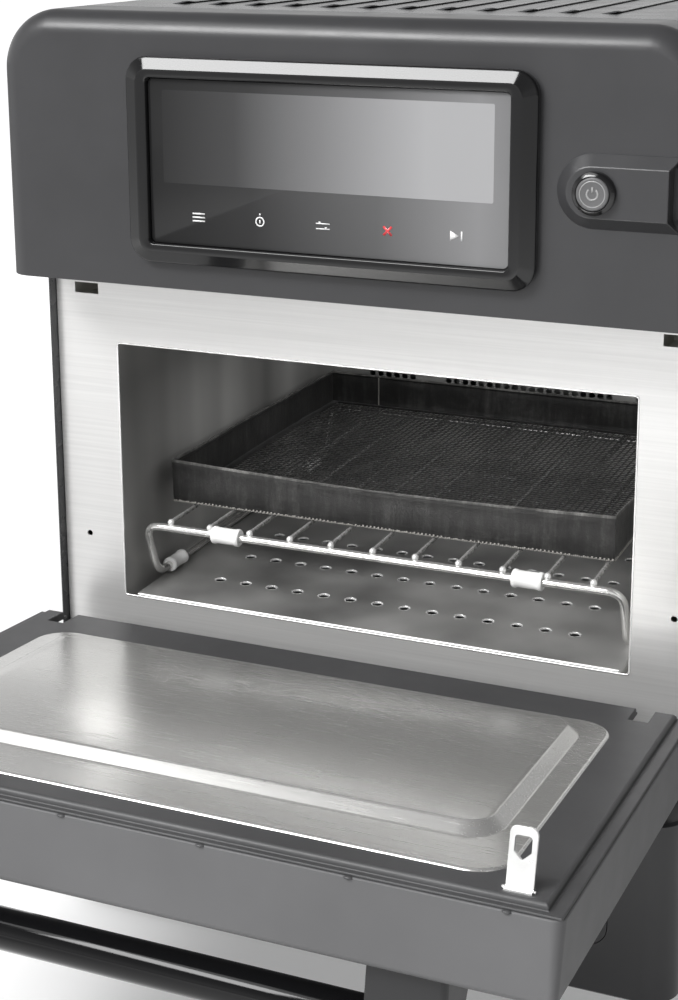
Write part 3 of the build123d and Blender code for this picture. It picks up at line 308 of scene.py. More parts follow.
def satin_steel(name, colour):
    """Pressed satin stainless, its faint grain running across the door."""
    s = Surface(name, colour, metallic=0.78, roughness=0.24)
    grain = s.noise(1400, 3, 0.6, (0.02, 1, 1))
    s.tint(s.noise(7, 3), colour, 0.93, 1.05)
    s.polish(grain, 0.05, 0.08)
    s.bump((grain, 0.000006), (s.noise(4, 2), 0.00012))
    return s.material


def plain_metal(name, colour, roughness=0.35, depth=0.00002, metallic=1.0):
    """Drawn, plated or cast metal with a fine uneven skin."""
    s = Surface(name, colour, metallic=metallic, roughness=roughness)
    s.tint(s.noise(60, 4), colour, 0.85, 1.1)
    s.polish(s.noise(200, 4), 0.08, 0.1)
    s.bump((s.noise(700, 3), depth))
    return s.material


def rubbery(name, colour):
    """Moulded rubber or soft plastic."""
    s = Surface(name, colour, roughness=0.75)
    s.tint(s.noise(40, 4), colour, 0.8, 1.2)
    s.bump((s.noise(1200, 3), 0.00004))
    return s.material


def fibre(name, colour):
    """Felted mineral fibre or open filter foam."""
    s = Surface(name, colour, roughness=0.95)
    s.tint(s.noise(320, 6, 0.8), colour, 0.6, 1.2)
    s.bump((s.noise(450, 6, 0.8), 0.0006))
    return s.material


def coated_mesh(name, colour):
    """Glass mesh with a slick dark coating, rubbed and scorched in streaks."""
    s = Surface(name, colour, roughness=0.42, Specular_IOR_Level=0.5, Sheen_Weight=0.1)
    cloudy = s.noise(45, 6, 0.75)
    rubbed = s.noise(160, 5, 0.7, (1, 1, 0.12))
    shades = ((0.12, 0.35), (0.24, 1.0), (0.34, 2.4), (0.46, 5.5))
    worn = s.maths("MULTIPLY", cloudy, rubbed)
    s.shade(worn, *((place, [c * much for c in colour]) for place, much in shades))
    s.polish(s.noise(80, 4), 0.14, 0.13)
    weave = s.node("TexVoronoi", {"Vector": s.coords, "Scale": 900}).outputs["Distance"]
    s.bump((weave, 0.00006), (rubbed, 0.0002), (s.noise(35, 3), 0.0004))
    return s.material


def circuit_board(name, colour):
    """Green board with a hint of tracks."""
    s = Surface(name, colour, roughness=0.4, Coat_Weight=0.3)
    tracks = s.node("TexBrick", {"Vector": s.placed((160, 160, 160)), "Scale": 1.0}).outputs["Fac"]
    s.shade(tracks, (0.0, colour), (1.0, [c * 1.8 for c in colour]))
    s.bump((tracks, 0.00005))
    return s.material


def banded(name, colour, metallic, roughness, scale, way, darker, lighter, depth):
    """Wire turns or core sheets side by side."""
    s = Surface(name, colour, metallic=metallic, roughness=roughness)
    bands = s.node("TexWave", {"Vector": s.placed(), "Scale": scale}, bands_direction=way).outputs["Fac"]
    s.tint(bands, colour, darker, lighter)
    s.bump((bands, depth))
    return s.material


def reflection_painted_surface(name, colour, roughness, shades, centre=0.0):
    """A surface whose colour runs through some shades from the display's left side to its right: a painted
    reflection.
    """
    s = Surface(name, colour, roughness=roughness, Specular_IOR_Level=0.2)
    across = s.node("SeparateXYZ", {"Vector": s.coords}).outputs["X"]
    painted_reflection_fade = s.spread(across, 0.0, 1.0, centre - DISPLAY_HALF, centre + DISPLAY_HALF)
    s.shade(painted_reflection_fade, *((place, (v, v, v * 1.02)) for place, v in shades))
    return s


def touch_glass(name):
    """Dark glass, paler towards the right: a painted reflection."""
    shades = ((0.0, 0.014), (0.3, 0.03), (0.65, 0.10), (0.92, 0.23), (1.0, 0.2))
    s = reflection_painted_surface(name, (0.02, 0.02, 0.021), 0.07, shades)
    s.polish(s.noise(90, 6, 0.7), 0.02, 0.05)
    s.bump((s.noise(12, 2), 0.00002))
    return s.material


def unlit_screen(name, centre):
    """The unlit screen: black at the left, pale grey at the right, a painted reflection."""
    shades = ((0.04, 0.022), (0.25, 0.05), (0.5, 0.17), (0.78, 0.33), (0.96, 0.34))
    s = reflection_painted_surface(name, (0.08, 0.08, 0.085), 0.2, shades, centre)
    s.bump((s.noise(3000, 1), 0.000002))
    return s.material


def printed_mark(name, colour):
    """Printed ink."""
    s = Surface(name, colour, roughness=0.35, Coat_Weight=0.5)
    s.tint(s.noise(900, 2), colour, 0.92, 1.05)
    return s.material


def slot_materials(scene):
    """One procedural material for each of the record's slots."""
    casing, steel = scene.oven_casing, scene.oven_steel
    return {
        "casing": powder_coat("casing paint", casing.paint, 0.26),
        "chassis": plain_metal("galvanised sheet", (0.5, 0.51, 0.52), 0.42, 0.00004),
        "front_steel": brushed_steel("front steel", steel.front, steel.grain, 0.58),
        "cavity_steel": wiped_steel("cavity steel", steel.cavity, steel.grain),
        "pan_steel": satin_steel("pan steel", (0.72, 0.715, 0.7)),
        "fascia_plastic": moulded_plastic("fascia plastic", casing.plastic, 0.3, 1300, 0.000006),
        "door_shell_paint": powder_coat("door paint", casing.door_paint, 0.46, 0.2),
        "door_frame_plastic": moulded_plastic("door frame plastic", (0.06, 0.06, 0.062), 0.42),
        "handle_plastic": moulded_plastic("handle plastic", (0.016, 0.016, 0.017), 0.4),
        "grip_metal": gloss_plastic("grip paint", (0.005, 0.005, 0.0055), 0.09, 0.25, 0.0),
        "bezel_gloss": gloss_plastic("bezel gloss", (0.006, 0.006, 0.0065), 0.1, 0.3, 0.26),
        "display_glass": touch_glass("touch glass"),
        "display_panel": moulded_plastic("display panel", (0.012, 0.012, 0.014)),
        "circuit_board": circuit_board("circuit board", (0.02, 0.11, 0.045)),
        "button_ring": gloss_plastic("button ring", (0.006, 0.006, 0.0065), 0.14, 0.4, 0.3),
        "button_cap": gloss_plastic("button cap", (0.115, 0.115, 0.117), 0.4, 0.35, 0.0),
        "filter_foam": fibre("filter foam", (0.03, 0.03, 0.032)),
        "rack_wire": plain_metal("rack wire", (0.84, 0.835, 0.82), 0.2, 0.0000015, 0.82),
        "rack_sleeve": moulded_plastic("ptfe", (0.92, 0.92, 0.91), 0.4, 700, 0.00001),
        "basket_mesh": coated_mesh("coated mesh", (0.0135, 0.0132, 0.0128)),
        "mineral_wool": fibre("mineral wool", (0.55, 0.52, 0.42)),
        "hinge_steel": plain_metal("zinc-plated steel", (0.5, 0.5, 0.49), 0.36),
        "hook_steel": plain_metal("hook steel", (0.88, 0.88, 0.87), 0.24, 0.00001, 0.6),
        "latch_plastic": moulded_plastic("nylon", (0.55, 0.54, 0.5)),
        "fan_steel": plain_metal("fan steel", (0.55, 0.55, 0.55), 0.32),
        "motor_metal": powder_coat("motor paint", (0.12, 0.125, 0.13), 0.5),
        "fan_plastic": moulded_plastic("fan plastic", (0.02, 0.02, 0.021), 0.45),
        "guide_aluminium": plain_metal("guide aluminium", (0.7, 0.71, 0.72), 0.34),
        "core_iron": banded("laminated iron", (0.13, 0.13, 0.135), 0.7, 0.5, 320, "Y", 0.7, 1.3, 2e-4),
        "winding_copper": banded("enamelled copper", (0.5, 0.2, 0.08), 0.8, 0.35, 260, "Z", 0.6, 1.15, 3e-4),
        "foot_rubber": rubbery("foot rubber", (0.02, 0.02, 0.02)),
        "gland_plastic": moulded_plastic("gland plastic", (0.018, 0.018, 0.018)),
    }


# ---------------------------------------------------------------- making pieces
def body_of(node):
    """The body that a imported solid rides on."""
    return frame["nodes"][node]["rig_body"]


def finish_piece(bm, name, nodes=(), slot=None, body="oven", look=None, smooth=35):
    """Makes an object of a bmesh: merged, faces outwards, smooth between its sharp edges.

    A piece that replaces solids takes the body and the slot of the first of them.
    """
    if nodes:
        body, slot = body_of(nodes[0]), SLOTS[nodes[0]]
    bmesh.ops.remove_doubles(bm, verts=bm.verts[:], dist=0.00001)
    bmesh.ops.recalc_face_normals(bm, faces=bm.faces[:])
    mesh = bpy.data.meshes.new(name)
    bm.to_mesh(mesh)
    bm.free()
    mesh.shade_smooth()
    mesh.set_sharp_from_angle(angle=radians(smooth))
    mesh.materials.append(made[look or slot])
    piece = bpy.data.objects.new(name, mesh)
    bpy.context.scene.collection.objects.link(piece)
    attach(piece, body)
    if nodes:
        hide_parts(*nodes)
    return piece


def soften(piece, width, segments=2, limit=32):
    """Small radii on a piece's edges, so that they catch the light."""
    bevel = piece.modifiers.new("Soft edges", "BEVEL")
    bevel.width = width
    bevel.segments = segments
    bevel.limit_method = "ANGLE"
    bevel.angle_limit = radians(limit)
    flat = piece.modifiers.new("Flat faces", "WEIGHTED_NORMAL")
    flat.keep_sharp = True
    flat.weight = 100


def thicken(piece, thickness):
    """Gives a surface its sheet's thickness, half to each side."""
    solid = piece.modifiers.new("Sheet", "SOLIDIFY")
    solid.thickness = thickness
    solid.offset = 0


def join_flats(bm):
    """Joins neighbouring faces that lie in one plane."""
    bmesh.ops.dissolve_limit(bm, angle_limit=radians(0.4), verts=bm.verts[:], edges=bm.edges[:])


def merged_copy(node):
    """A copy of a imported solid, merged and its flat faces joined up."""
    bm = bmesh.new()
    bm.from_mesh(frame["nodes"][node].data)
    bmesh.ops.remove_doubles(bm, verts=bm.verts[:], dist=0.00002)
    join_flats(bm)
    return bm


def dress(width, segments, *nodes):
    """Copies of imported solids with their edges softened."""
    for node in nodes:
        soften(finish_piece(merged_copy(node), node + "_finished", [node]), width, segments)


def corners_of(points):
    """The lowest and the highest corner of the box round some points."""
    return [Vector([pick(p[i] for p in points) for i in range(3)]) for pick in (min, max)]


def in_door(node):
    """A solid's points in the door's own directions, and their lowest and highest corners."""
    back = DOOR_FRAME.inverted()
    points = [back @ v.co for v in frame["nodes"][node].data.vertices]
    return points, *corners_of(points)


def arc(x, y, radius, start, sweep, steps):
    """Points along an arc; its angles are in degrees."""
    angles = [radians(start + sweep * i / steps) for i in range(steps + 1)]
    return [(x + radius * cos(angle), y + radius * sin(angle)) for angle in angles]


def circle(x, y, radius, steps):
    return arc(x, y, radius, 0, 360, steps)[:-1]


def rectangle(left, low, right, high):
    return [(left, low), (right, low), (right, high), (left, high)]


def rounded_outline(low, high, corner, steps=6):
    """Points round a rectangle with rounded corners, anticlockwise from the lower right."""
    right, left = high[0] - corner, low[0] + corner
    under, over = low[1] + corner, high[1] - corner
    middles = ((right, under, -90), (right, over, 0), (left, over, 90), (left, under, 180))
    return [point for x, y, start in middles for point in arc(x, y, corner, start, 90, steps)]


def upright(outline, y):
    """A flat outline stood up across the oven."""
    return [(x, y, z) for x, z in outline]


def front_loop(low, high, across, up, y, corner, steps=6):
    """A rounded loop that stands across the oven, drawn in from a box's sides and from its ends."""
    start, end = (low.x + across, low.z + up), (high.x - across, high.z - up)
    return upright(rounded_outline(start, end, corner, steps), y)


def loop_of(bm, points):
    """A closed loop of edges through some points."""
    verts = [bm.verts.new(p) for p in points]
    return [bm.edges.new((a, b)) for a, b in zip(verts, verts[1:] + verts[:1])]


def skin(bm, loops, close_first=False, close_last=False):
    """Bridges a run of loops with as many points each."""
    rings = [[bm.verts.new(p) for p in loop] for loop in loops]
    for ring, after in zip(rings, rings[1:]):
        for i in range(len(ring)):
            j = (i + 1) % len(ring)
            bm.faces.new((ring[i], ring[j], after[j], after[i]))
    if close_first:
        bm.faces.new(rings[0][::-1])
    if close_last:
        bm.faces.new(rings[-1])


def stood(place, axis):
    """A place whose Z axis is turned a quarter about the X or the Y axis."""
    return Matrix.Translation(place) @ Matrix.Rotation(pi / 2, 4, axis)


def lathe(bm, profile, matrix, steps):
    """Spins a profile of (radius, height) pairs round the matrix's Z axis."""
    verts = [bm.verts.new(matrix @ Vector((r, 0, h))) for r, h in profile]
    edges = [bm.edges.new(pair) for pair in zip(verts, verts[1:])]
    axis = matrix.to_3x3() @ Vector((0, 0, 1))
    bmesh.ops.spin(
        bm, geom=verts + edges, cent=matrix.translation, axis=axis,
        angle=2 * pi, steps=steps, use_merge=True,
    )


def plate_with_holes(bm, outline, holes, place):
    """A flat face with holes through it; place turns a flat point into a place."""
    edges = []
    for loop in (outline, *holes):
        edges += loop_of(bm, [place(*p) for p in loop])
    bmesh.ops.triangle_fill(bm, edges=edges, use_beauty=True)


def bent(points, bend, steps=5):
    """A closed line through some points with its corners rounded."""
    out = []
    points = [Vector(point) for point in points]
    for before, point, after in zip(points[-1:] + points, points, points[1:] + points[:1]):
        start = point + (before - point).normalized() * bend
        end = point + (after - point).normalized() * bend
        for k in range(steps + 1):
            t = k / steps
            out.append((1 - t) ** 2 * start + 2 * t * (1 - t) * point + t * t * end)
    return out


def add_wire(bm, points, radius, closed=False, sides=12):
    """A round wire along some points, from a bevelled curve."""
    curve = bpy.data.curves.new("wire", "CURVE")
    curve.dimensions = "3D"
    curve.bevel_depth = radius
    curve.bevel_resolution = sides // 4
    curve.use_fill_caps = not closed
    spline = curve.splines.new("POLY")
    spline.points.add(len(points) - 1)
    for spot, point in zip(spline.points, points):
        spot.co = (*point, 1)
    spline.use_cyclic_u = closed
    holder = bpy.data.objects.new("wire", curve)
    mesh = bpy.data.meshes.new_from_object(holder)
    bm.from_mesh(mesh)
    bpy.data.objects.remove(holder)
    bpy.data.curves.remove(curve)
    bpy.data.meshes.remove(mesh)


# ---------------------------------------------------------------- the pieces
class OVEN_OT_stage(Operator):
    """Make the floor, the lights, the surroundings and the camera"""

    bl_idname = "oven.stage"
    bl_label = "Stage"

    def execute(self, context):
        scene = context.scene
        self.floor(scene)
        self.surroundings(scene)
        for name, place, aim, size, power, seen in (
            ("strip softbox", (-0.78, -1.60, 1.76), (0, -0.187, 0.5), (1.25, 0.62), 40, True),
            ("key softbox", (-0.95, -1.4, 2.2), (0, -0.2, 0.3), (1.9, 1.15), 20, True),
            ("top softbox", (0.1, -0.9, 2.6), (0, -0.1, 0.3), (1.6, 1.6), 5, False),
            ("cavity fill", (0.15, -1.9, 0.95), (0, 0.0, 0.28), (0.7, 0.5), 10, False),
            ("cavity glow", (0.02, 0.03, 0.338), (0.02, 0.031, 0.2), (0.24, 0.24), 0.2, False),
        ):
            lamp = bpy.data.lights.new(name, "AREA")
            lamp.shape = "RECTANGLE"
            lamp.size, lamp.size_y = size
            lamp.energy = power
            light = bpy.data.objects.new(name, lamp)
            light.location = place
            light.rotation_euler = (Vector(aim) - Vector(place)).to_track_quat("-Z", "Y").to_euler()
            light.visible_glossy = seen
            light.visible_camera = False
            scene.collection.objects.link(light)
        lens = bpy.data.cameras.new("camera")
        lens.lens = 64.73
        lens.sensor_width = 36
        lens.shift_x, lens.shift_y = -0.0301, -0.1618
        lens.clip_start, lens.clip_end = 0.05, 100
        camera = bpy.data.objects.new("camera", lens)
        camera.location = CAMERA_PLACE
        camera.rotation_euler = Euler((radians(90 - CAMERA_DOWN), 0, radians(CAMERA_LEFT)))
        scene.collection.objects.link(camera)
        scene.camera = camera
        scene.view_settings.view_transform = "Standard"
        return {"FINISHED"}

    def floor(self, scene):
        """A wide plain floor, white to the camera and bright to metal, that keeps its shadow."""
        bm = bmesh.new()
        bmesh.ops.create_grid(bm, x_segments=8, y_segments=8, size=30.0)
        mesh = bpy.data.meshes.new("floor")
        bm.to_mesh(mesh)
        bm.free()
        floor = bpy.data.objects.new("floor", mesh)
        scene.collection.objects.link(floor)
        s = Surface("floor", (FLOOR_SHADE, FLOOR_SHADE, FLOOR_SHADE), roughness=0.9)
        rays = s.node("LightPath").outputs
        # less of it bounces up, as on a studio table with a dark room round it
        lit = s.spread(rays["Is Diffuse Ray"], FLOOR_SHADE, FLOOR_SHADE * 0.5)
        mottle = s.maths("MULTIPLY", lit, s.spread(s.noise(2, 3), 0.985, 1.0))
        # painted shade, seen only in reflections: the floor is darker close on the oven's left, as the studio
        # is dimmer there, which its steel shows
        away = s.node("VectorMath", {0: s.coords, 1: DIM_SPOT}, operation="DISTANCE").outputs["Value"]
        painted_reflection_shade = s.spread(away, -0.65, 0.0, *DIM_REACH)
        kept = s.maths("MULTIPLY_ADD", rays["Is Glossy Ray"], painted_reflection_shade, 1.0)
        s.link(s.maths("MULTIPLY", mottle, kept), "Base Color")
        reach = s.node("VectorMath", {0: s.coords}, operation="LENGTH").outputs["Value"]
        rise = s.spread(reach, FLOOR_GLOW, FLOOR_FAR_GLOW, 0.45, 1.4)
        seen = s.maths("MAXIMUM", rays["Is Camera Ray"], rays["Is Transmission Ray"])
        # a painted glow on the floor, seen only in reflections, brighter in front of the oven
        depth = s.node("SeparateXYZ", {"Vector": s.coords}).outputs["Y"]
        ahead = s.spread(depth, 0.05, FLOOR_SHEEN, 0.4, -0.6)
        mirrored = s.maths("MULTIPLY", rays["Is Glossy Ray"], ahead)
        sheen = s.maths("MULTIPLY", mirrored, s.spread(away, 0.35, 1.15, *DIM_REACH))
        s.shader.inputs["Emission Color"].default_value = WHITE
        s.link(s.maths("ADD", s.maths("MULTIPLY", seen, rise), sheen), "Emission Strength")
        mesh.materials.append(s.material)

    def surroundings(self, scene):
        """White to the camera; to metal a studio that is bright low down and dark overhead."""
        world = bpy.data.worlds.new("studio")
        world.use_nodes = True
        sky = Nodes(world.node_tree)
        rays = sky.node("LightPath").outputs
        way = sky.node("SeparateXYZ", {0: sky.node("TexCoord").outputs["Generated"]}).outputs
        shades = ((0.0, 0.95), (0.12, 0.95), (0.3, 0.55), (0.55, 0.3), (0.8, 0.14))
        ramp = sky.ramp(way["Z"], *((place, (shade, shade, shade)) for place, shade in shades))
        mirrored = sky.mix(rays["Is Glossy Ray"], (0.34, 0.34, 0.34, 1), ramp)
        side = sky.spread(way["X"], 1.0, 0.25, 0.1, 0.85)
        shaded = sky.node("VectorMath", {0: mirrored, 1: side}, operation="MULTIPLY").outputs[0]
        seen = sky.maths("MAXIMUM", rays["Is Camera Ray"], rays["Is Transmission Ray"])
        back = sky.tree.nodes["Background"]
        sky.tree.links.new(sky.mix(seen, shaded, WHITE), back.inputs["Color"])
        scene.world = world


class OVEN_OT_materials(Operator):
    """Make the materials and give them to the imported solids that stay"""

    bl_idname = "oven.materials"
    bl_label = "Materials"

    def execute(self, context):
        made.update(slot_materials(context.scene))
        made["hem"] = coated_mesh("worn hem", (0.07, 0.069, 0.066))
        made["frayed"] = moulded_plastic("cut mesh edge", (0.3, 0.29, 0.27), 0.6)
        # the floor plate's steel is a darker copy of the cavity steel: painted shade
        made["plate"] = wiped_steel("jet plate steel with painted shade", (0.34, 0.337, 0.33), 0.00001, 0.36)
        # the cross wires' steel is a darker copy of the rack wire: painted shade
        made["cross_wire"] = plain_metal("cross wire", (0.56, 0.555, 0.545), 0.26, 0.000002, 0.6)
        # a pale copy of the steel for thin lips, collars and beads: a painted highlight
        made["polished"] = plain_metal("pale steel with painted highlight", (0.93, 0.93, 0.92), 0.2, 0.000004, 0.45)
        for node, piece in frame["nodes"].items():
            piece.data.materials.clear()
            piece.data.materials.append(made[SLOTS[node]])
        return {"FINISHED"}


class OVEN_OT_casing(Operator):
    """Dress the casing, the fascias and the feet"""

    bl_idname = "oven.casing"
    bl_label = "Casing"

    def execute(self, context):
        edge = context.scene.oven_casing.edge_radius
        self.wrap(edge)
        dress(edge, 2, "rear_panel", "chassis_base")
        dress(edge * 1.6, 3, "upper_fascia", "lower_fascia", "filter_cover")
        dress(edge * 2, 2, "foot_front_left", "foot_front_right", "foot_back_left", "foot_back_right")
        dress(edge, 2, "cable_gland")
        self.button_pad()
        return {"FINISHED"}

    def wrap(self, edge):
        """The wrapped casing, its louvres pressed as slim tongues open along their right side."""
        bm = merged_copy("body_wrap")
        top = max(v.co.z for v in frame["nodes"]["body_wrap"].data.vertices)
        sheet_top = top - LOUVRE_LIP
        lifted = [v for v in bm.verts if v.co.z > sheet_top + 0.1 * MM]
        # the louvres' highest lines, to a fifth of a millimetre
        spots = sorted({round(v.co.x * 5000) / 5000 for v in lifted if v.co.z > top - 0.1 * MM})
        front, back = min(v.co.y for v in lifted), max(v.co.y for v in lifted)
        bmesh.ops.delete(bm, geom=lifted, context="VERTS")
        soften(finish_piece(bm, "body_wrap_finished", ["body_wrap"]), edge)
        self.tongues([x - LOUVRE_SHIFT for x in spots], front, back, sheet_top)

    def tongues(self, spots, front, back, z):
        """Each tongue rises to the right and shuts at its back; flat sheet fills the slot beside it."""
        section = ((-4.6, 0), (-3.6, 0.12), (-1.0, 0.62), (2.5, 1.42), (4.1, 1.7), (4.5, 1.62), (4.5, 1.0),
                   (4.0, 1.0), (-1.0, -0.1), (-3.6, -0.7), (-4.6, -0.9))
        stations = ((front, 1.0), (front + 3 * MM, 1.0), (front + 12 * MM, 0.5), (back - 14 * MM, 0.5),
                    (back - 8 * MM, 0.4), (back - 3 * MM, 0.1), (back, 0.0))
        bm = bmesh.new()
        for x in spots:
            rings = [
                [(x + u * MM, y, z + (w if w < 0 else w * lift) * MM) for u, w in section]
                for y, lift in stations
            ]
            skin(bm, rings, True, True)
            for left, right in ((-6.05, -4.55), (4.75, 5.45)):
                strip = [(left, 0), (right, 0), (right, -1), (left, -1)]
                strip = [(x + u * MM, z + w * MM) for u, w in strip]
                skin(bm, [upright(strip, y) for y in (front, back)], True, True)
        finish_piece(bm, "louvre_tongues", slot="casing", smooth=30)

    def button_pad(self):
        """The raised pad under the button, its right end mitred where the fascia turns its corner."""
        fascia_low, fascia_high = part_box("upper_fascia")
        face, right = fascia_low.y, fascia_high.x - FASCIA_ROUND + 1 * MM
        low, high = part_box("button_housing")
        x, z = (low.x + high.x) / 2, (low.z + high.z) / 2
        end = right - PAD_RISE

        def outline(tall, tips):
            """A round left end of some height, and the right end's tips."""
            points = arc(fascia_high.x - PAD_LEFT, z, tall / 2, 90, 180, 24)
            return points + [(px, z + pz) for px, pz in tips]

        square = [(end, -PAD_TOP / 2), (end, PAD_TOP / 2)]
        doubled = [square[0], square[0], square[1], square[1]]
        skirt = PAD_FOOT + 0.5 * MM
        mitred = [(right, -skirt / 2), *square, (right, skirt / 2)]
        inner, outer = face + PAD_ROOT, face - PAD_RISE
        layers = ((inner, PAD_TOP, doubled), (face + 0.03 * MM, skirt, mitred), (outer, PAD_TOP, doubled))
        bm = bmesh.new()
        skin(bm, [upright(outline(tall, tips), y) for y, tall, tips in layers])
        bore = circle(x, z, PAD_BORE, 32)
        for y in (inner, outer):
            plate_with_holes(bm, outline(PAD_TOP, square), [bore], lambda u, v: (u, y, v))
        skin(bm, [upright(bore, y) for y in (inner, outer)])
        soften(finish_piece(bm, "button_pad", slot="fascia_plastic", smooth=30), 0.5 * MM, 3)


class OVEN_OT_steel(Operator):
    """Dress the front plate and the cavity's sheets"""

    bl_idname = "oven.steel"
    bl_label = "Steelwork"

    def execute(self, context):
        dress(0.4 * MM, 2, "front_plate", "cavity_liner")
        self.back_wall()
        dress(0.3 * MM, 2, "ceiling_jet_plate")
        self.jet_plate()
        self.opening_lip()
        return {"FINISHED"}

    def back_wall(self):
        """The back wall, its fan openings punched as round holes in rows."""
        low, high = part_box("cavity_back_wall")
        radius, pitch, top_row = 2.5 * MM, 6.6 * MM, 268 * MM
        holes = []
        for j in range(4):
            for start, end in ((-128, -82), (-66, 66), (82, 128)):
                for i in range(int((end - start) * MM / pitch)):
                    x = start * MM + (i + 0.5 * (j % 2)) * pitch
                    holes.append(circle(x, top_row - j * pitch, radius, 14))
        holes.append(rectangle(-111 * MM, 334 * MM, 111 * MM, 352 * MM))
        bm = bmesh.new()
        plate_with_holes(bm, rectangle(low.x, low.z, high.x, high.z), holes, lambda x, z: (x, low.y, z))
        for v in bmesh.ops.extrude_face_region(bm, geom=bm.faces[:])["geom"]:
            if isinstance(v, bmesh.types.BMVert):
                v.co.y = high.y
        finish_piece(bm, "cavity_back_wall_punched", ["cavity_back_wall"], smooth=30)

    def jet_plate(self):
        """The floor plate: folded down all round, its holes drawn down into small collars."""
        low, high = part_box("jet_plate")
        sheet, radius, pitch, row, first, margins = 1 * MM, 3.2 * MM, 17.9 * MM, 44.2 * MM, 41 * MM, 76 * MM
        across = int((high.x - low.x - margins) / pitch) + 1
        spots = [
            ((i - (across - 1) / 2) * pitch, low.y + first + j * row)
            for i in range(across) for j in range(7)
        ]
        face = high.z - 0.4 * MM
        outline = rounded_outline((low.x + sheet, low.y + sheet), (high.x - sheet, high.y - sheet), 2 * MM, 3)
        wider = rounded_outline((low.x, low.y), (high.x, high.y), 3 * MM, 3)
        bm = bmesh.new()
        holes = [circle(x, y, radius + 0.8 * MM, 20) for x, y in spots]
        plate_with_holes(bm, outline, holes, lambda x, y: (x, y, face))
        rims = ((outline, face), (wider, face - 0.8 * MM), (wider, low.z))
        skin(bm, [[(x, y, z) for x, y in rim] for rim, z in rims])
        lip = ((0.8, 0), (0.5, 0.06), (0.2, 0.02), (0, -0.2), (-0.08, -0.6), (-0.1, -1.1))
        lip = [(radius + wide * MM, rise * MM) for wide, rise in lip]
        collars = bmesh.new()
        for x, y in spots:
            lathe(collars, lip, Matrix.Translation((x, y, face)), 20)
        # the collars are pale steel: a painted highlight on the walls of the holes
        finish_piece(collars, "jet_plate_collars", slot="cavity_steel", look="polished", smooth=60)
        # the plate takes the darker copy of the cavity steel, a painted shade
        finish_piece(bm, "jet_plate_drawn", ["jet_plate"], look="plate", smooth=20)
        roll = 0.95 * MM
        y, z = low.y + roll, high.z - roll
        bm = bmesh.new()
        add_wire(bm, [(low.x + 2 * MM, y, z), (high.x - 2 * MM, y, z)], roll)
        # the rolled front edge is pale steel: a painted highlight
        finish_piece(bm, "jet_plate_rolled_edge", slot="cavity_steel", look="polished", smooth=60)

    def opening_lip(self):
        """The fine rolled lip round the cavity's opening, in pale steel: a painted highlight."""
        corners = rectangle(-OPENING_SIDE, OPENING_LOW, OPENING_SIDE, OPENING_HIGH)
        corners = corners[1:] + corners[:1]
        bm = bmesh.new()
        add_wire(bm, bent(upright(corners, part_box("front_plate")[0].y), 2 * MM), 0.55 * MM, True, 8)
        finish_piece(bm, "opening_lip", slot="front_steel", look="polished", smooth=60)


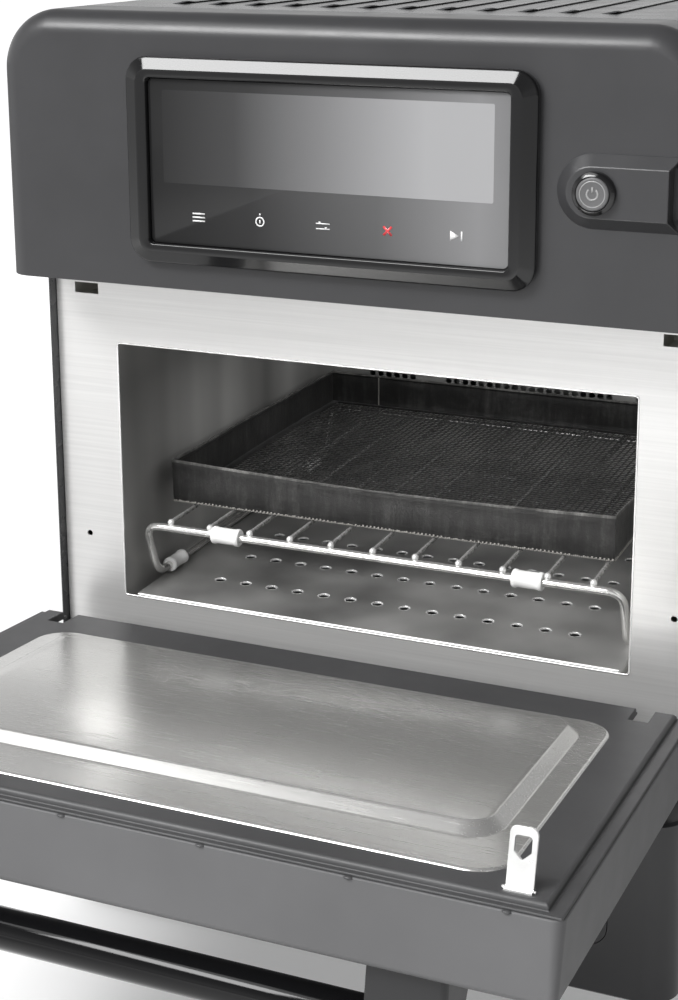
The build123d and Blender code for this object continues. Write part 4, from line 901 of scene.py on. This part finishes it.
class OVEN_OT_display(Operator):
    """Make the bezel, the touch glass, the unlit screen and the touch marks"""

    bl_idname = "oven.display"
    bl_label = "Display"

    def execute(self, context):
        low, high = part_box("display_glass")
        centre = (low + high) / 2
        self.bezel(low, high)
        self.glass(low, high)
        self.screen(centre, low, high)
        self.marks(context.scene.oven_display, centre, low)
        return {"FINISHED"}

    def bezel(self, glass_low, glass_high):
        """A polished frame: a broad slope outside, a flat ring and a fine step down to the glass."""
        low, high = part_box("display_bezel")
        base = (high.y - low.y) / MM - 2
        # how far in, how far back and the corner's radius; the inner rings follow the glass
        steps = ((0.3, base, 13), (0.05, 5.6, 13), (0, 4.2, 13), (0.35, 3.4, 12.7), (0.85, 3.1, 12.2),
                 (1.1, 2.98, 12), (6.6, 0.6, 7.4), (6.85, 0.48, 7.1), (7.4, 0.2, 6.7), (8.0, 0.06, 6.2),
                 (8.8, 0, 5.4), (12.4, 0, 3.6), (13.0, 0.12, 3.3), (13.4, 0.5, 3.1))
        beside, over = ((high[i] - low[i]) - (glass_high[i] - glass_low[i]) for i in (0, 2))
        loops = []
        for inset, depth, corner in steps:
            u, v = inset * MM, inset * MM * (over / beside if inset > 7.5 else 1)
            v = min(v, (glass_low.z - low.z) - 0.3 * MM)
            loops.append(front_loop(low, high, u, v, low.y + depth * MM, corner * MM, 8))
        for y in (glass_low.y + 0.3 * MM, glass_high.y):
            loops.append(front_loop(glass_low, glass_high, -0.1 * MM, -0.1 * MM, y, 3 * MM, 8))
        bm = bmesh.new()
        skin(bm, loops)
        finish_piece(bm, "bezel_polished", ["display_bezel"], smooth=40)

    def glass(self, low, high):
        """A glass plate with rounded corners and a ground edge."""
        edge, soft = 0.5 * MM, 0.15 * MM
        rings = ((0, high.y), (0, low.y + edge), (soft, low.y + soft), (edge, low.y))
        bm = bmesh.new()
        skin(bm, [front_loop(low, high, inset, inset, y, 3 * MM) for inset, y in rings], True, True)
        finish_piece(bm, "touch_glass", ["display_glass"])

    def screen(self, centre, low, high):
        """The unlit screen, let into the dark glass."""
        made["screen"] = unlit_screen("unlit screen", centre.x)
        outline = rounded_outline((low.x + 8.5 * MM, low.z + 33.5 * MM),
                                  (high.x - 8.5 * MM, high.z - 6 * MM), 0.8 * MM, 2)
        bm = bmesh.new()
        skin(bm, [upright(outline, y) for y in (low.y + 0.3 * MM, low.y - 0.04 * MM)], True, True)
        finish_piece(bm, "unlit_screen", slot="display_glass", look="screen")

    def marks(self, look, centre, low):
        """Plain touch marks: bars, a ring, sliders, a red cross and a pointer."""
        made["pale"] = printed_mark("mark ink", (0.85, 0.85, 0.85))
        made["red"] = printed_mark("stop ink", look.stop_colour)
        pitch, front, z = 36.8 * MM, low.y - 0.03 * MM, low.z + 15.5 * MM
        drawings = (self.bars, self.ring, self.sliders, self.cross, self.pointer)
        for i in range(look.mark_count):
            x = centre.x + (i - (look.mark_count - 1) / 2) * pitch
            bm = bmesh.new()
            for outline, holes in drawings[i % 5]():
                plate_with_holes(bm, outline, holes, lambda u, v: (x + u * MM, front, z + v * MM))
            ink = "red" if i % 5 == 3 else "pale"
            thicken(finish_piece(bm, f"touch_mark_{i + 1}", slot="display_glass", look=ink), 0.05 * MM)

    def bar(self, u, v, wide, high):
        """A bar round a middle, with no holes."""
        return rectangle(u - wide / 2, v - high / 2, u + wide / 2, v + high / 2), ()

    def bars(self):
        return [self.bar(0, v, 7.5, 0.8) for v in (-2, 0, 2)]

    def ring(self):
        hand, knob = self.bar(0, 0, 0.8, 2.0), self.bar(0, 4.0, 0.8, 1.1)
        return [(circle(0, 0, 2.7, 28), (circle(0, 0, 2.0, 28),)), knob, hand]

    def sliders(self):
        return [self.bar(0, 1.4, 8, 0.6), self.bar(0, -1.4, 8, 0.6),
                self.bar(-1.8, 2.1, 1.3, 0.7), self.bar(1.8, -0.7, 1.3, 0.7)]

    def cross(self):
        arm, neck = 3.3, 0.62
        points = ((-neck, neck), (-arm, neck), (-arm, -neck), (-neck, -neck), (-neck, -arm), (neck, -arm),
                  (neck, -neck), (arm, -neck), (arm, neck), (neck, neck), (neck, arm), (-neck, arm))
        turn = cos(pi / 4)
        return [([((u - v) * turn, (u + v) * turn) for u, v in points], ())]

    def pointer(self):
        return [(((-2.2, -2.6), (2.6, 0), (-2.2, 2.6)), ()), self.bar(4.1, 0, 0.8, 5.0)]


class OVEN_OT_button(Operator):
    """Dress the power button and print its mark"""

    bl_idname = "oven.button"
    bl_label = "Power button"

    def execute(self, context):
        low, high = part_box("button_housing")
        cap_low, cap_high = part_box("power_button")
        centre = (cap_low + cap_high) / 2
        deep = cap_high.y - cap_low.y
        radius = (cap_high.x - cap_low.x) / 2
        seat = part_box("upper_fascia")[0].y - PAD_RISE
        rim, bore, back = (high.x - low.x) / 2, radius + 0.12 * MM, seat - high.y
        barrel = rim - 1.55 * MM
        profile = [(bore, back), (bore, 4.2 * MM), (bore + 0.3 * MM, 4.5 * MM), (bore + 0.55 * MM, 4.42 * MM),
                   (rim - 0.4 * MM, 3.5 * MM), (rim - 0.1 * MM, 3.25 * MM), (rim, 2.9 * MM), (rim, 0),
                   (barrel, 0), (barrel, back), (bore, back)]
        self.turn("button_ring_turned", "button_housing", profile, (centre.x, seat, centre.z), 64)
        # the cap stands on the raised pad, not on the floor of the solid's hollow
        front = cap_low.y - 2 * PAD_RISE
        dish = ((0, 0.9), (0.25, 0.35), (0.7, 0.08), (1, 0), (1.35, 0.08), (1.7, 0.2))
        profile = [(0, 0), (radius - 0.6 * MM, 0), (radius, 0.6 * MM)]
        profile += [(radius - inset * MM, deep - drop * MM) for inset, drop in dish]
        profile.append((0, deep - 0.25 * MM))
        self.turn("power_button_dished", "power_button", profile, (centre.x, front + deep, centre.z), 48)
        made["ink"] = printed_mark("power ink", (0.3, 0.3, 0.3))
        broken_ring = arc(0, 0, 3.3, 128, 284, 24) + arc(0, 0, 2.35, 128, 284, 24)[::-1]
        place = lambda u, v: (centre.x + u * MM, front + 0.2 * MM, centre.z + v * MM)
        bm = bmesh.new()
        for outline, holes in (
            (broken_ring, ()), (rectangle(-0.45, 0.6, 0.45, 3.7), ()),
            # the thin pale ring stands for a fine groove round the cap: a painted highlight, not print
            (circle(0, 0, 6.75, 48), [circle(0, 0, 6.2, 48)]),
        ):
            plate_with_holes(bm, outline, holes, place)
        mark = finish_piece(bm, "power_mark", slot="button_cap", body="power_button", look="ink")
        thicken(mark, 0.1 * MM)
        return {"FINISHED"}

    def turn(self, name, node, profile, place, steps):
        """A round piece that faces out of the oven's front."""
        bm = bmesh.new()
        lathe(bm, profile, stood(place, "X"), steps)
        finish_piece(bm, name, [node], smooth=32)


class OVEN_OT_rack(Operator):
    """Make the wire rack, its cross wires and its sleeves"""

    bl_idname = "oven.rack"
    bl_label = "Wire rack"

    def execute(self, context):
        look = context.scene.oven_rack
        low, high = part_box("wire_rack")
        r = look.wire_radius
        side, front, back = high.x - r, low.y + r, high.y - r
        top, under, lean = high.z - r, low.z + r, 13 * MM
        run = ((front, top), (front + lean, under), (back - lean, under), (back, top))
        half = [(side, y, z) for y, z in run]
        points = half + [(-x, y, z) for x, y, z in half[::-1]]
        bm = bmesh.new()
        add_wire(bm, bent(points, 10 * MM), r, True, 16)
        finish_piece(bm, "rack_frame_wire", ["wire_rack"], smooth=60)
        self.cross_wires(look.cross_radius, high.x)
        self.sleeves(r, low, high)
        return {"FINISHED"}

    def cross_wires(self, r, half):
        """Straight wires from front to back, their welded ends beads wider than the wire, in pale steel: a
        painted highlight.
        """
        low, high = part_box("rack_cross_wires")
        pitch, margins, front, back, z = 26.9 * MM, 20 * MM, low.y + r, high.y - r, high.z - r
        count = int((half * 2 - margins) / pitch) + 1
        bm, beads = bmesh.new(), bmesh.new()
        for i in range(count):
            x = (i - (count - 1) / 2) * pitch
            add_wire(bm, [(x, front, z), (x, back, z)], r)
            for y in (front + 1 * MM, back - 1 * MM):
                at = Matrix.Translation((x, y, z - 0.35 * MM))
                bmesh.ops.create_uvsphere(beads, u_segments=20, v_segments=12, radius=2.15 * MM, matrix=at)
        # the cross wires take the darker copy of the wire steel, a painted shade
        finish_piece(bm, "rack_cross_wires_round", ["rack_cross_wires"], look="cross_wire", smooth=60)
        # the beads are pale steel: a painted highlight
        finish_piece(beads, "rack_wire_beads", slot="rack_wire", body="rack", look="polished", smooth=60)

    def sleeves(self, r, low, high):
        """White tubes pushed onto the wire, each with rolled ends."""
        half, along, side = 9 * MM, 37 * MM, high.x - r

        def profile(big):
            waist = big - 0.45 * MM
            end = [(r + 0.05 * MM, -half), (big - 0.5 * MM, -half), (big, 0.6 * MM - half),
                   (big, 2.2 * MM - half), (waist, 3 * MM - half)]
            return end + [(wide, -place) for wide, place in end[::-1]]

        bm = bmesh.new()
        for x in (-96 * MM, 96 * MM):
            lathe(bm, profile(5.4 * MM), stood((x, low.y + r, high.z - r), "Y"), 28)
        for x in (-side, side):
            for y in (low.y + r + along, high.y - r - along):
                lathe(bm, profile(4.7 * MM), stood((x, y, low.z + r), "X"), 28)
        finish_piece(bm, "rack_sleeves_rolled", ["rack_sleeves"], smooth=40)


class OVEN_OT_basket(Operator):
    """Make the coated mesh basket: folded walls round an open weave"""

    bl_idname = "oven.basket"
    bl_label = "Basket"

    def execute(self, context):
        low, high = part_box("mesh_basket")
        self.walls(low, high)
        self.weave(context.scene.oven_rack, low, high)
        return {"FINISHED"}

    def walls(self, low, high):
        """Folded walls: sharp front corners, a sagging front edge and a left wall that bows outwards."""
        inset, bow, keep = 1.5 * MM, 2.5 * MM, 0.5 * MM
        near, far = low.y + inset, high.y - inset
        corners = rectangle(low.x + inset + bow, near, high.x - inset - keep, far)
        corners = [Vector((*corner, 0)) for corner in corners]
        # round the foot, each wall in turn: the place, the way out, the wall's number and how far along it
        line = []
        outs = ((0, -1, 0), (1, 0, 0), (0, 1, 0), (-1, 0, 0))
        for wall, (push, count) in enumerate(((0.4 * MM, 58), (0.6 * MM, 50), (0.8 * MM, 58), (bow, 50))):
            start, end, out = corners[wall], corners[(wall + 1) % 4], Vector(outs[wall])
            for k in range(count):
                t = k / count
                line.append((start + (end - start) * t + out * push * sin(pi * t), out, wall, t))

        def wall_loop(out, up):
            """A loop round the walls, pushed out by some millimetres, part of the way up."""
            loop = []
            for i, (spot, way_out, wall, t) in enumerate(line):
                angle = i / len(line) * 2 * pi
                wave = (0.4 * sin(9 * angle + 1.1) + 0.22 * sin(23 * angle + 2) + 0.16 * sin(47 * angle)) * up
                # the front wall's edge hangs a little lower in its middle, the far one stands straight
                fall = (0.3, 0.3 + 4.0 * t, 4.3, 4.3 - 4.0 * t)[wall]
                sag = (3.2, 1.6, 0.3, 1.2)[wall] * sin(pi * t) + fall
                drop = max(0, up - 0.5) / 0.5 * sag
                pull = 0
                if i == 0 or line[i - 1][2] != wall:
                    way_out, pull = (way_out + line[i - 1][1]) * 0.5 * 1.3, 0.2
                x, y, _ = spot + way_out * (out + wave * 0.6 + pull * up) * MM
                x = max(low.x + keep, min(high.x - keep, x))
                y = max(low.y + keep, min(high.y - keep, y))
                loop.append((x, y, low.z + (high.z - low.z) * up - drop * MM))
            return loop

        levels = ((-7, 0.045), (-2.0, 0.035), (-0.6, 0.03), (-0.1, 0.06), (0.05, 0.18), (0, 0.4),
                  (0, 0.6), (0.05, 0.8), (0.25, 0.835), (0.3, 0.95), (0.25, 0.985), (0, 1),
                  (-0.3, 0.985), (-0.35, 0.9))
        bm = bmesh.new()
        skin(bm, [wall_loop(out, up) for out, up in levels])
        thicken(finish_piece(bm, "basket_wall", ["mesh_basket"], smooth=50), 0.6 * MM)
        hem = ((0.62, 0.955), (0.66, 0.985), (0.35, 1.014), (-0.3, 1.018), (-0.7, 0.99), (-0.7, 0.96))
        bm = bmesh.new()
        skin(bm, [wall_loop(out, up) for out, up in hem])
        finish_piece(bm, "basket_hem", slot="basket_mesh", body="basket", look="hem", smooth=50)
        self.frays(line, low.z)
        self.seam(low, high, far - 1 * MM)

    def frays(self, line, base):
        """Cut strand ends that stand out unevenly along the foot of the walls."""
        bm = bmesh.new()
        for i, (spot, out, _, _) in enumerate(line):
            step = line[(i + 1) % len(line)][0] - spot
            for k in range(4):
                place = spot + step * ((k + 0.5) / 4)
                jitter = sin(i * 12.9898 + k * 78.233)
                along = step.normalized() * (0.42 + 0.15 * jitter) * MM
                near, far = place + out * 0.36 * MM, place + out * (0.75 + 0.25 * jitter) * MM
                foot, head = base + (0.45 + 0.3 * jitter) * MM, base + (1.5 + 0.5 * jitter) * MM
                ends = ((far - along, foot), (far + along, foot), (near + along, head), (near - along, head))
                bm.faces.new([bm.verts.new((p.x, p.y, z)) for p, z in ends])
        frays = finish_piece(bm, "basket_frays", slot="basket_mesh", body="basket", look="frayed", smooth=60)
        thicken(frays, 0.25 * MM)

    def seam(self, low, high, y):
        """A bright fold line up the far wall, where the sheet's ends meet."""
        x = low.x + 42 * MM
        section = ((x, y - 0.9 * MM), (x + 0.5 * MM, y - 1.1 * MM), (x + 0.6 * MM, y), (x, y))
        bm = bmesh.new()
        skin(bm, [[(u, v, z) for u, v in section] for z in (low.z + 1.5 * MM, high.z - 5.6 * MM)], True, True)
        finish_piece(bm, "basket_seam", slot="basket_mesh", body="basket", look="frayed", smooth=40)

    def weave(self, look, low, high):
        """Flat strands passing over and under each other."""
        first_corner = (low.x + 4.5 * MM, low.y + 2.5 * MM)
        sides = (high.x - 3 * MM - first_corner[0], high.y - 3 * MM - first_corner[1])
        counts = [int(side / look.mesh_pitch) for side in sides]
        wide, thick, bed, wave = look.mesh_strand, 0.35 * MM, low.z + 0.9 * MM, 0.22 * MM
        bm = bmesh.new()
        for across, along in ((0, 1), (1, 0)):
            for i in range(1, counts[across]):
                place = first_corner[across] + sides[across] * i / counts[across]
                rings = []
                for j in range(counts[along] + 1):
                    run = first_corner[along] + sides[along] * j / counts[along]
                    lift = wave if (i + j + across) % 2 else -wave
                    ring = []
                    for side, up in rectangle(-1, -1, 1, 1):
                        spot = [0, 0, bed + lift + up * thick / 2]
                        spot[across], spot[along] = place + side * wide / 2, run
                        ring.append(spot)
                    rings.append(ring)
                skin(bm, rings)
        finish_piece(bm, "basket_weave", slot="basket_mesh", body="basket", smooth=60)


class OVEN_OT_door(Operator):
    """Dress the door: shell, frame, pressed pan, hooks, hinges and handle"""

    bl_idname = "oven.door"
    bl_label = "Door"

    def execute(self, context):
        edge = context.scene.oven_casing.edge_radius
        dress(edge * 1.6, 3, "door_shell")
        dress(edge * 1.2, 3, "door_frame")
        for side in ("left", "right"):
            self.hook(f"latch_hook_{side}")
            dress(0.4 * MM, 2, f"hinge_bracket_{side}")
            dress(0.3 * MM, 2, f"hinge_channel_{side}")
            dress(edge * 2, 3, f"handle_bracket_{side}")
        self.grip()
        self.pan()
        self.tabs()
        return {"FINISHED"}

    def hook(self, node):
        """A flat strap with a house-shaped eye, on a folded foot pinned at both sides."""
        _, low, high = in_door(node)
        sheet, corner = 2 * MM, 3 * MM
        half, long = (high.x - low.x) / 2, high.z - low.z
        across, root = (low.x + high.x) / 2, high.y - 3.5 * MM
        lean = root - sheet / 2 - low.y

        def place(u, v):
            """u across the strap, v down it from its tip."""
            return DOOR_FRAME @ Vector((across + u, root - lean * (1 - v / long), low.z + v))

        outline = [(-half, long - 0.2 * MM), *arc(corner - half, corner, corner, 180, 90, 3),
                   *arc(half - corner, corner, corner, 270, 90, 3), (half, long - 0.2 * MM)]
        eye = ((-3.8, 5.2), (-3.5, 4.3), (-2.6, 3.9), (2.6, 3.9), (3.5, 4.3), (3.8, 5.2), (3.8, 10.6),
               (0.6, 13.6), (0, 13.9), (-0.6, 13.6), (-3.8, 10.6))
        bm = bmesh.new()
        plate_with_holes(bm, outline, [[(u * MM, v * MM) for u, v in eye]], place)
        join_flats(bm)
        strap = finish_piece(bm, node + "_strap", [node], smooth=30)
        thicken(strap, sheet - 0.1 * MM)
        soften(strap, 0.3 * MM, 2, 40)
        foot = DOOR_FRAME @ Matrix.Translation((across, root, high.z))
        section = ((-2.0, 0), (-2.0, -1.0), (-1.4, -1.5), (2.9, -1.5), (3.4, -0.9), (3.4, 0))
        ends = [[foot @ Vector((x, u * MM, w * MM)) for u, w in section] for x in (-half, half)]
        bm = bmesh.new()
        skin(bm, ends, True, True)
        pin = half + 1.3 * MM
        rod = foot @ stood((-pin, 1.4 * MM, -0.75 * MM), "Y")
        thin, thick, end = 0.55 * MM, 0.7 * MM, 2 * pin
        profile = ((0, 0), (thin, 0), (thick, 0.2 * MM), (thick, end - 0.2 * MM), (thin, end), (0, end))
        lathe(bm, profile, rod, 12)
        finish_piece(bm, node + "_foot", slot="hook_steel", body="door", smooth=30)

    def grip(self):
        """The round grip bar with softly rounded ends."""
        _, low, high = in_door("handle_grip")
        radius, long = (high.y - low.y) / 2, high.x - low.x
        start = stood((low.x, (low.y + high.y) / 2, (low.z + high.z) / 2), "Y")
        end = [(0, 0), (radius - 1 * MM, 0), (radius - 0.3 * MM, 0.3 * MM), (radius, 1 * MM)]
        bm = bmesh.new()
        profile = end + [(wide, long - along) for wide, along in end[::-1]]
        lathe(bm, profile, DOOR_FRAME @ start, 64)
        finish_piece(bm, "handle_grip_turned", ["handle_grip"], smooth=40)

    def pan(self):
        """The pressed pan: a flange that turns down at its edge, and a raised middle with soft slopes."""
        points, low, high = in_door("door_pan")
        middle_low, middle_high = corners_of([p for p in points if abs(p.z - low.z) < 0.1 * MM])
        face, flange, middle_corner = low.z + 5.5 * MM, 19 * MM, 11 * MM
        loops = []

        def loop(low, high, grow, z, corner):
            start, end = (low.x - grow, low.y - grow), (high.x + grow, high.y + grow)
            outline = rounded_outline(start, end, corner + grow, 10)
            loops.append([DOOR_FRAME @ Vector((x, y, z)) for x, y in outline])

        loop(low, high, 0, high.z - 0.02 * MM, flange)
        for inset, rise in ((0, 2.0), (0.2, 1.15), (0.7, 0.45), (1.4, 0.1), (2.2, 0)):
            loop(low, high, -inset * MM, face + rise * MM, flange)
        for grow, drop in ((8.6, 0), (7.8, 0.18), (7.1, 0.65), (2.6, 4.8), (1.9, 5.25), (1.0, 5.5)):
            loop(middle_low, middle_high, grow * MM, face - drop * MM, middle_corner)
        bm = bmesh.new()
        skin(bm, loops, close_last=True)
        finish_piece(bm, "door_pan_pressed", ["door_pan"], smooth=60)

    def tabs(self):
        """Small clips that show in the seam between the door's frame and its shell."""
        _, _, high = in_door("door_frame")
        count, pitch, depth = 6, 71.2 * MM, -29.6 * MM
        bm = bmesh.new()
        for i in range(count):
            middle = DOOR_FRAME @ Vector(((i - (count - 1) / 2) * pitch, high.y + 0.5 * MM, depth))
            at = Matrix.Translation(middle) @ Matrix.Diagonal((2.3 * MM, 1.3 * MM, 0.8 * MM, 1))
            bmesh.ops.create_uvsphere(bm, u_segments=16, v_segments=8, radius=1.0, matrix=at)
        finish_piece(bm, "door_seam_clips", slot="door_frame_plastic", body="door", smooth=60)


OPERATORS = (
    OVEN_OT_stage, OVEN_OT_materials, OVEN_OT_casing, OVEN_OT_steel, OVEN_OT_display,
    OVEN_OT_button, OVEN_OT_rack, OVEN_OT_basket, OVEN_OT_door,
)


class OVEN_PT_panel(Panel):
    """The oven's settings and its makers"""

    bl_idname = "OVEN_PT_panel"
    bl_label = "Rapid-cook oven"
    bl_space_type = "VIEW_3D"
    bl_region_type = "UI"
    bl_category = "Oven"

    def draw(self, context):
        layout, scene = self.layout, context.scene
        for name in SETTINGS:
            group = getattr(scene, name)
            box = layout.box()
            for field in group.bl_rna.properties:
                if field.identifier not in ("name", "rna_type"):
                    box.prop(group, field.identifier)
        for kind in OPERATORS:
            layout.operator(kind.bl_idname)


SETTINGS = {
    "oven_casing": CasingLook, "oven_steel": SteelLook, "oven_rack": RackLook, "oven_display": DisplayLook,
}


def register():
    for kind in (*SETTINGS.values(), *OPERATORS, OVEN_PT_panel):
        bpy.utils.register_class(kind)
    for name, kind in SETTINGS.items():
        setattr(bpy.types.Scene, name, PointerProperty(type=kind))


def unregister():
    for name in SETTINGS:
        delattr(bpy.types.Scene, name)
    for kind in reversed((*SETTINGS.values(), *OPERATORS, OVEN_PT_panel)):
        bpy.utils.unregister_class(kind)


def main():
    register()
    for kind in OPERATORS:
        group, name = kind.bl_idname.split(".")
        getattr(getattr(bpy.ops, group), name)()


if __name__ == "__main__":
    main()
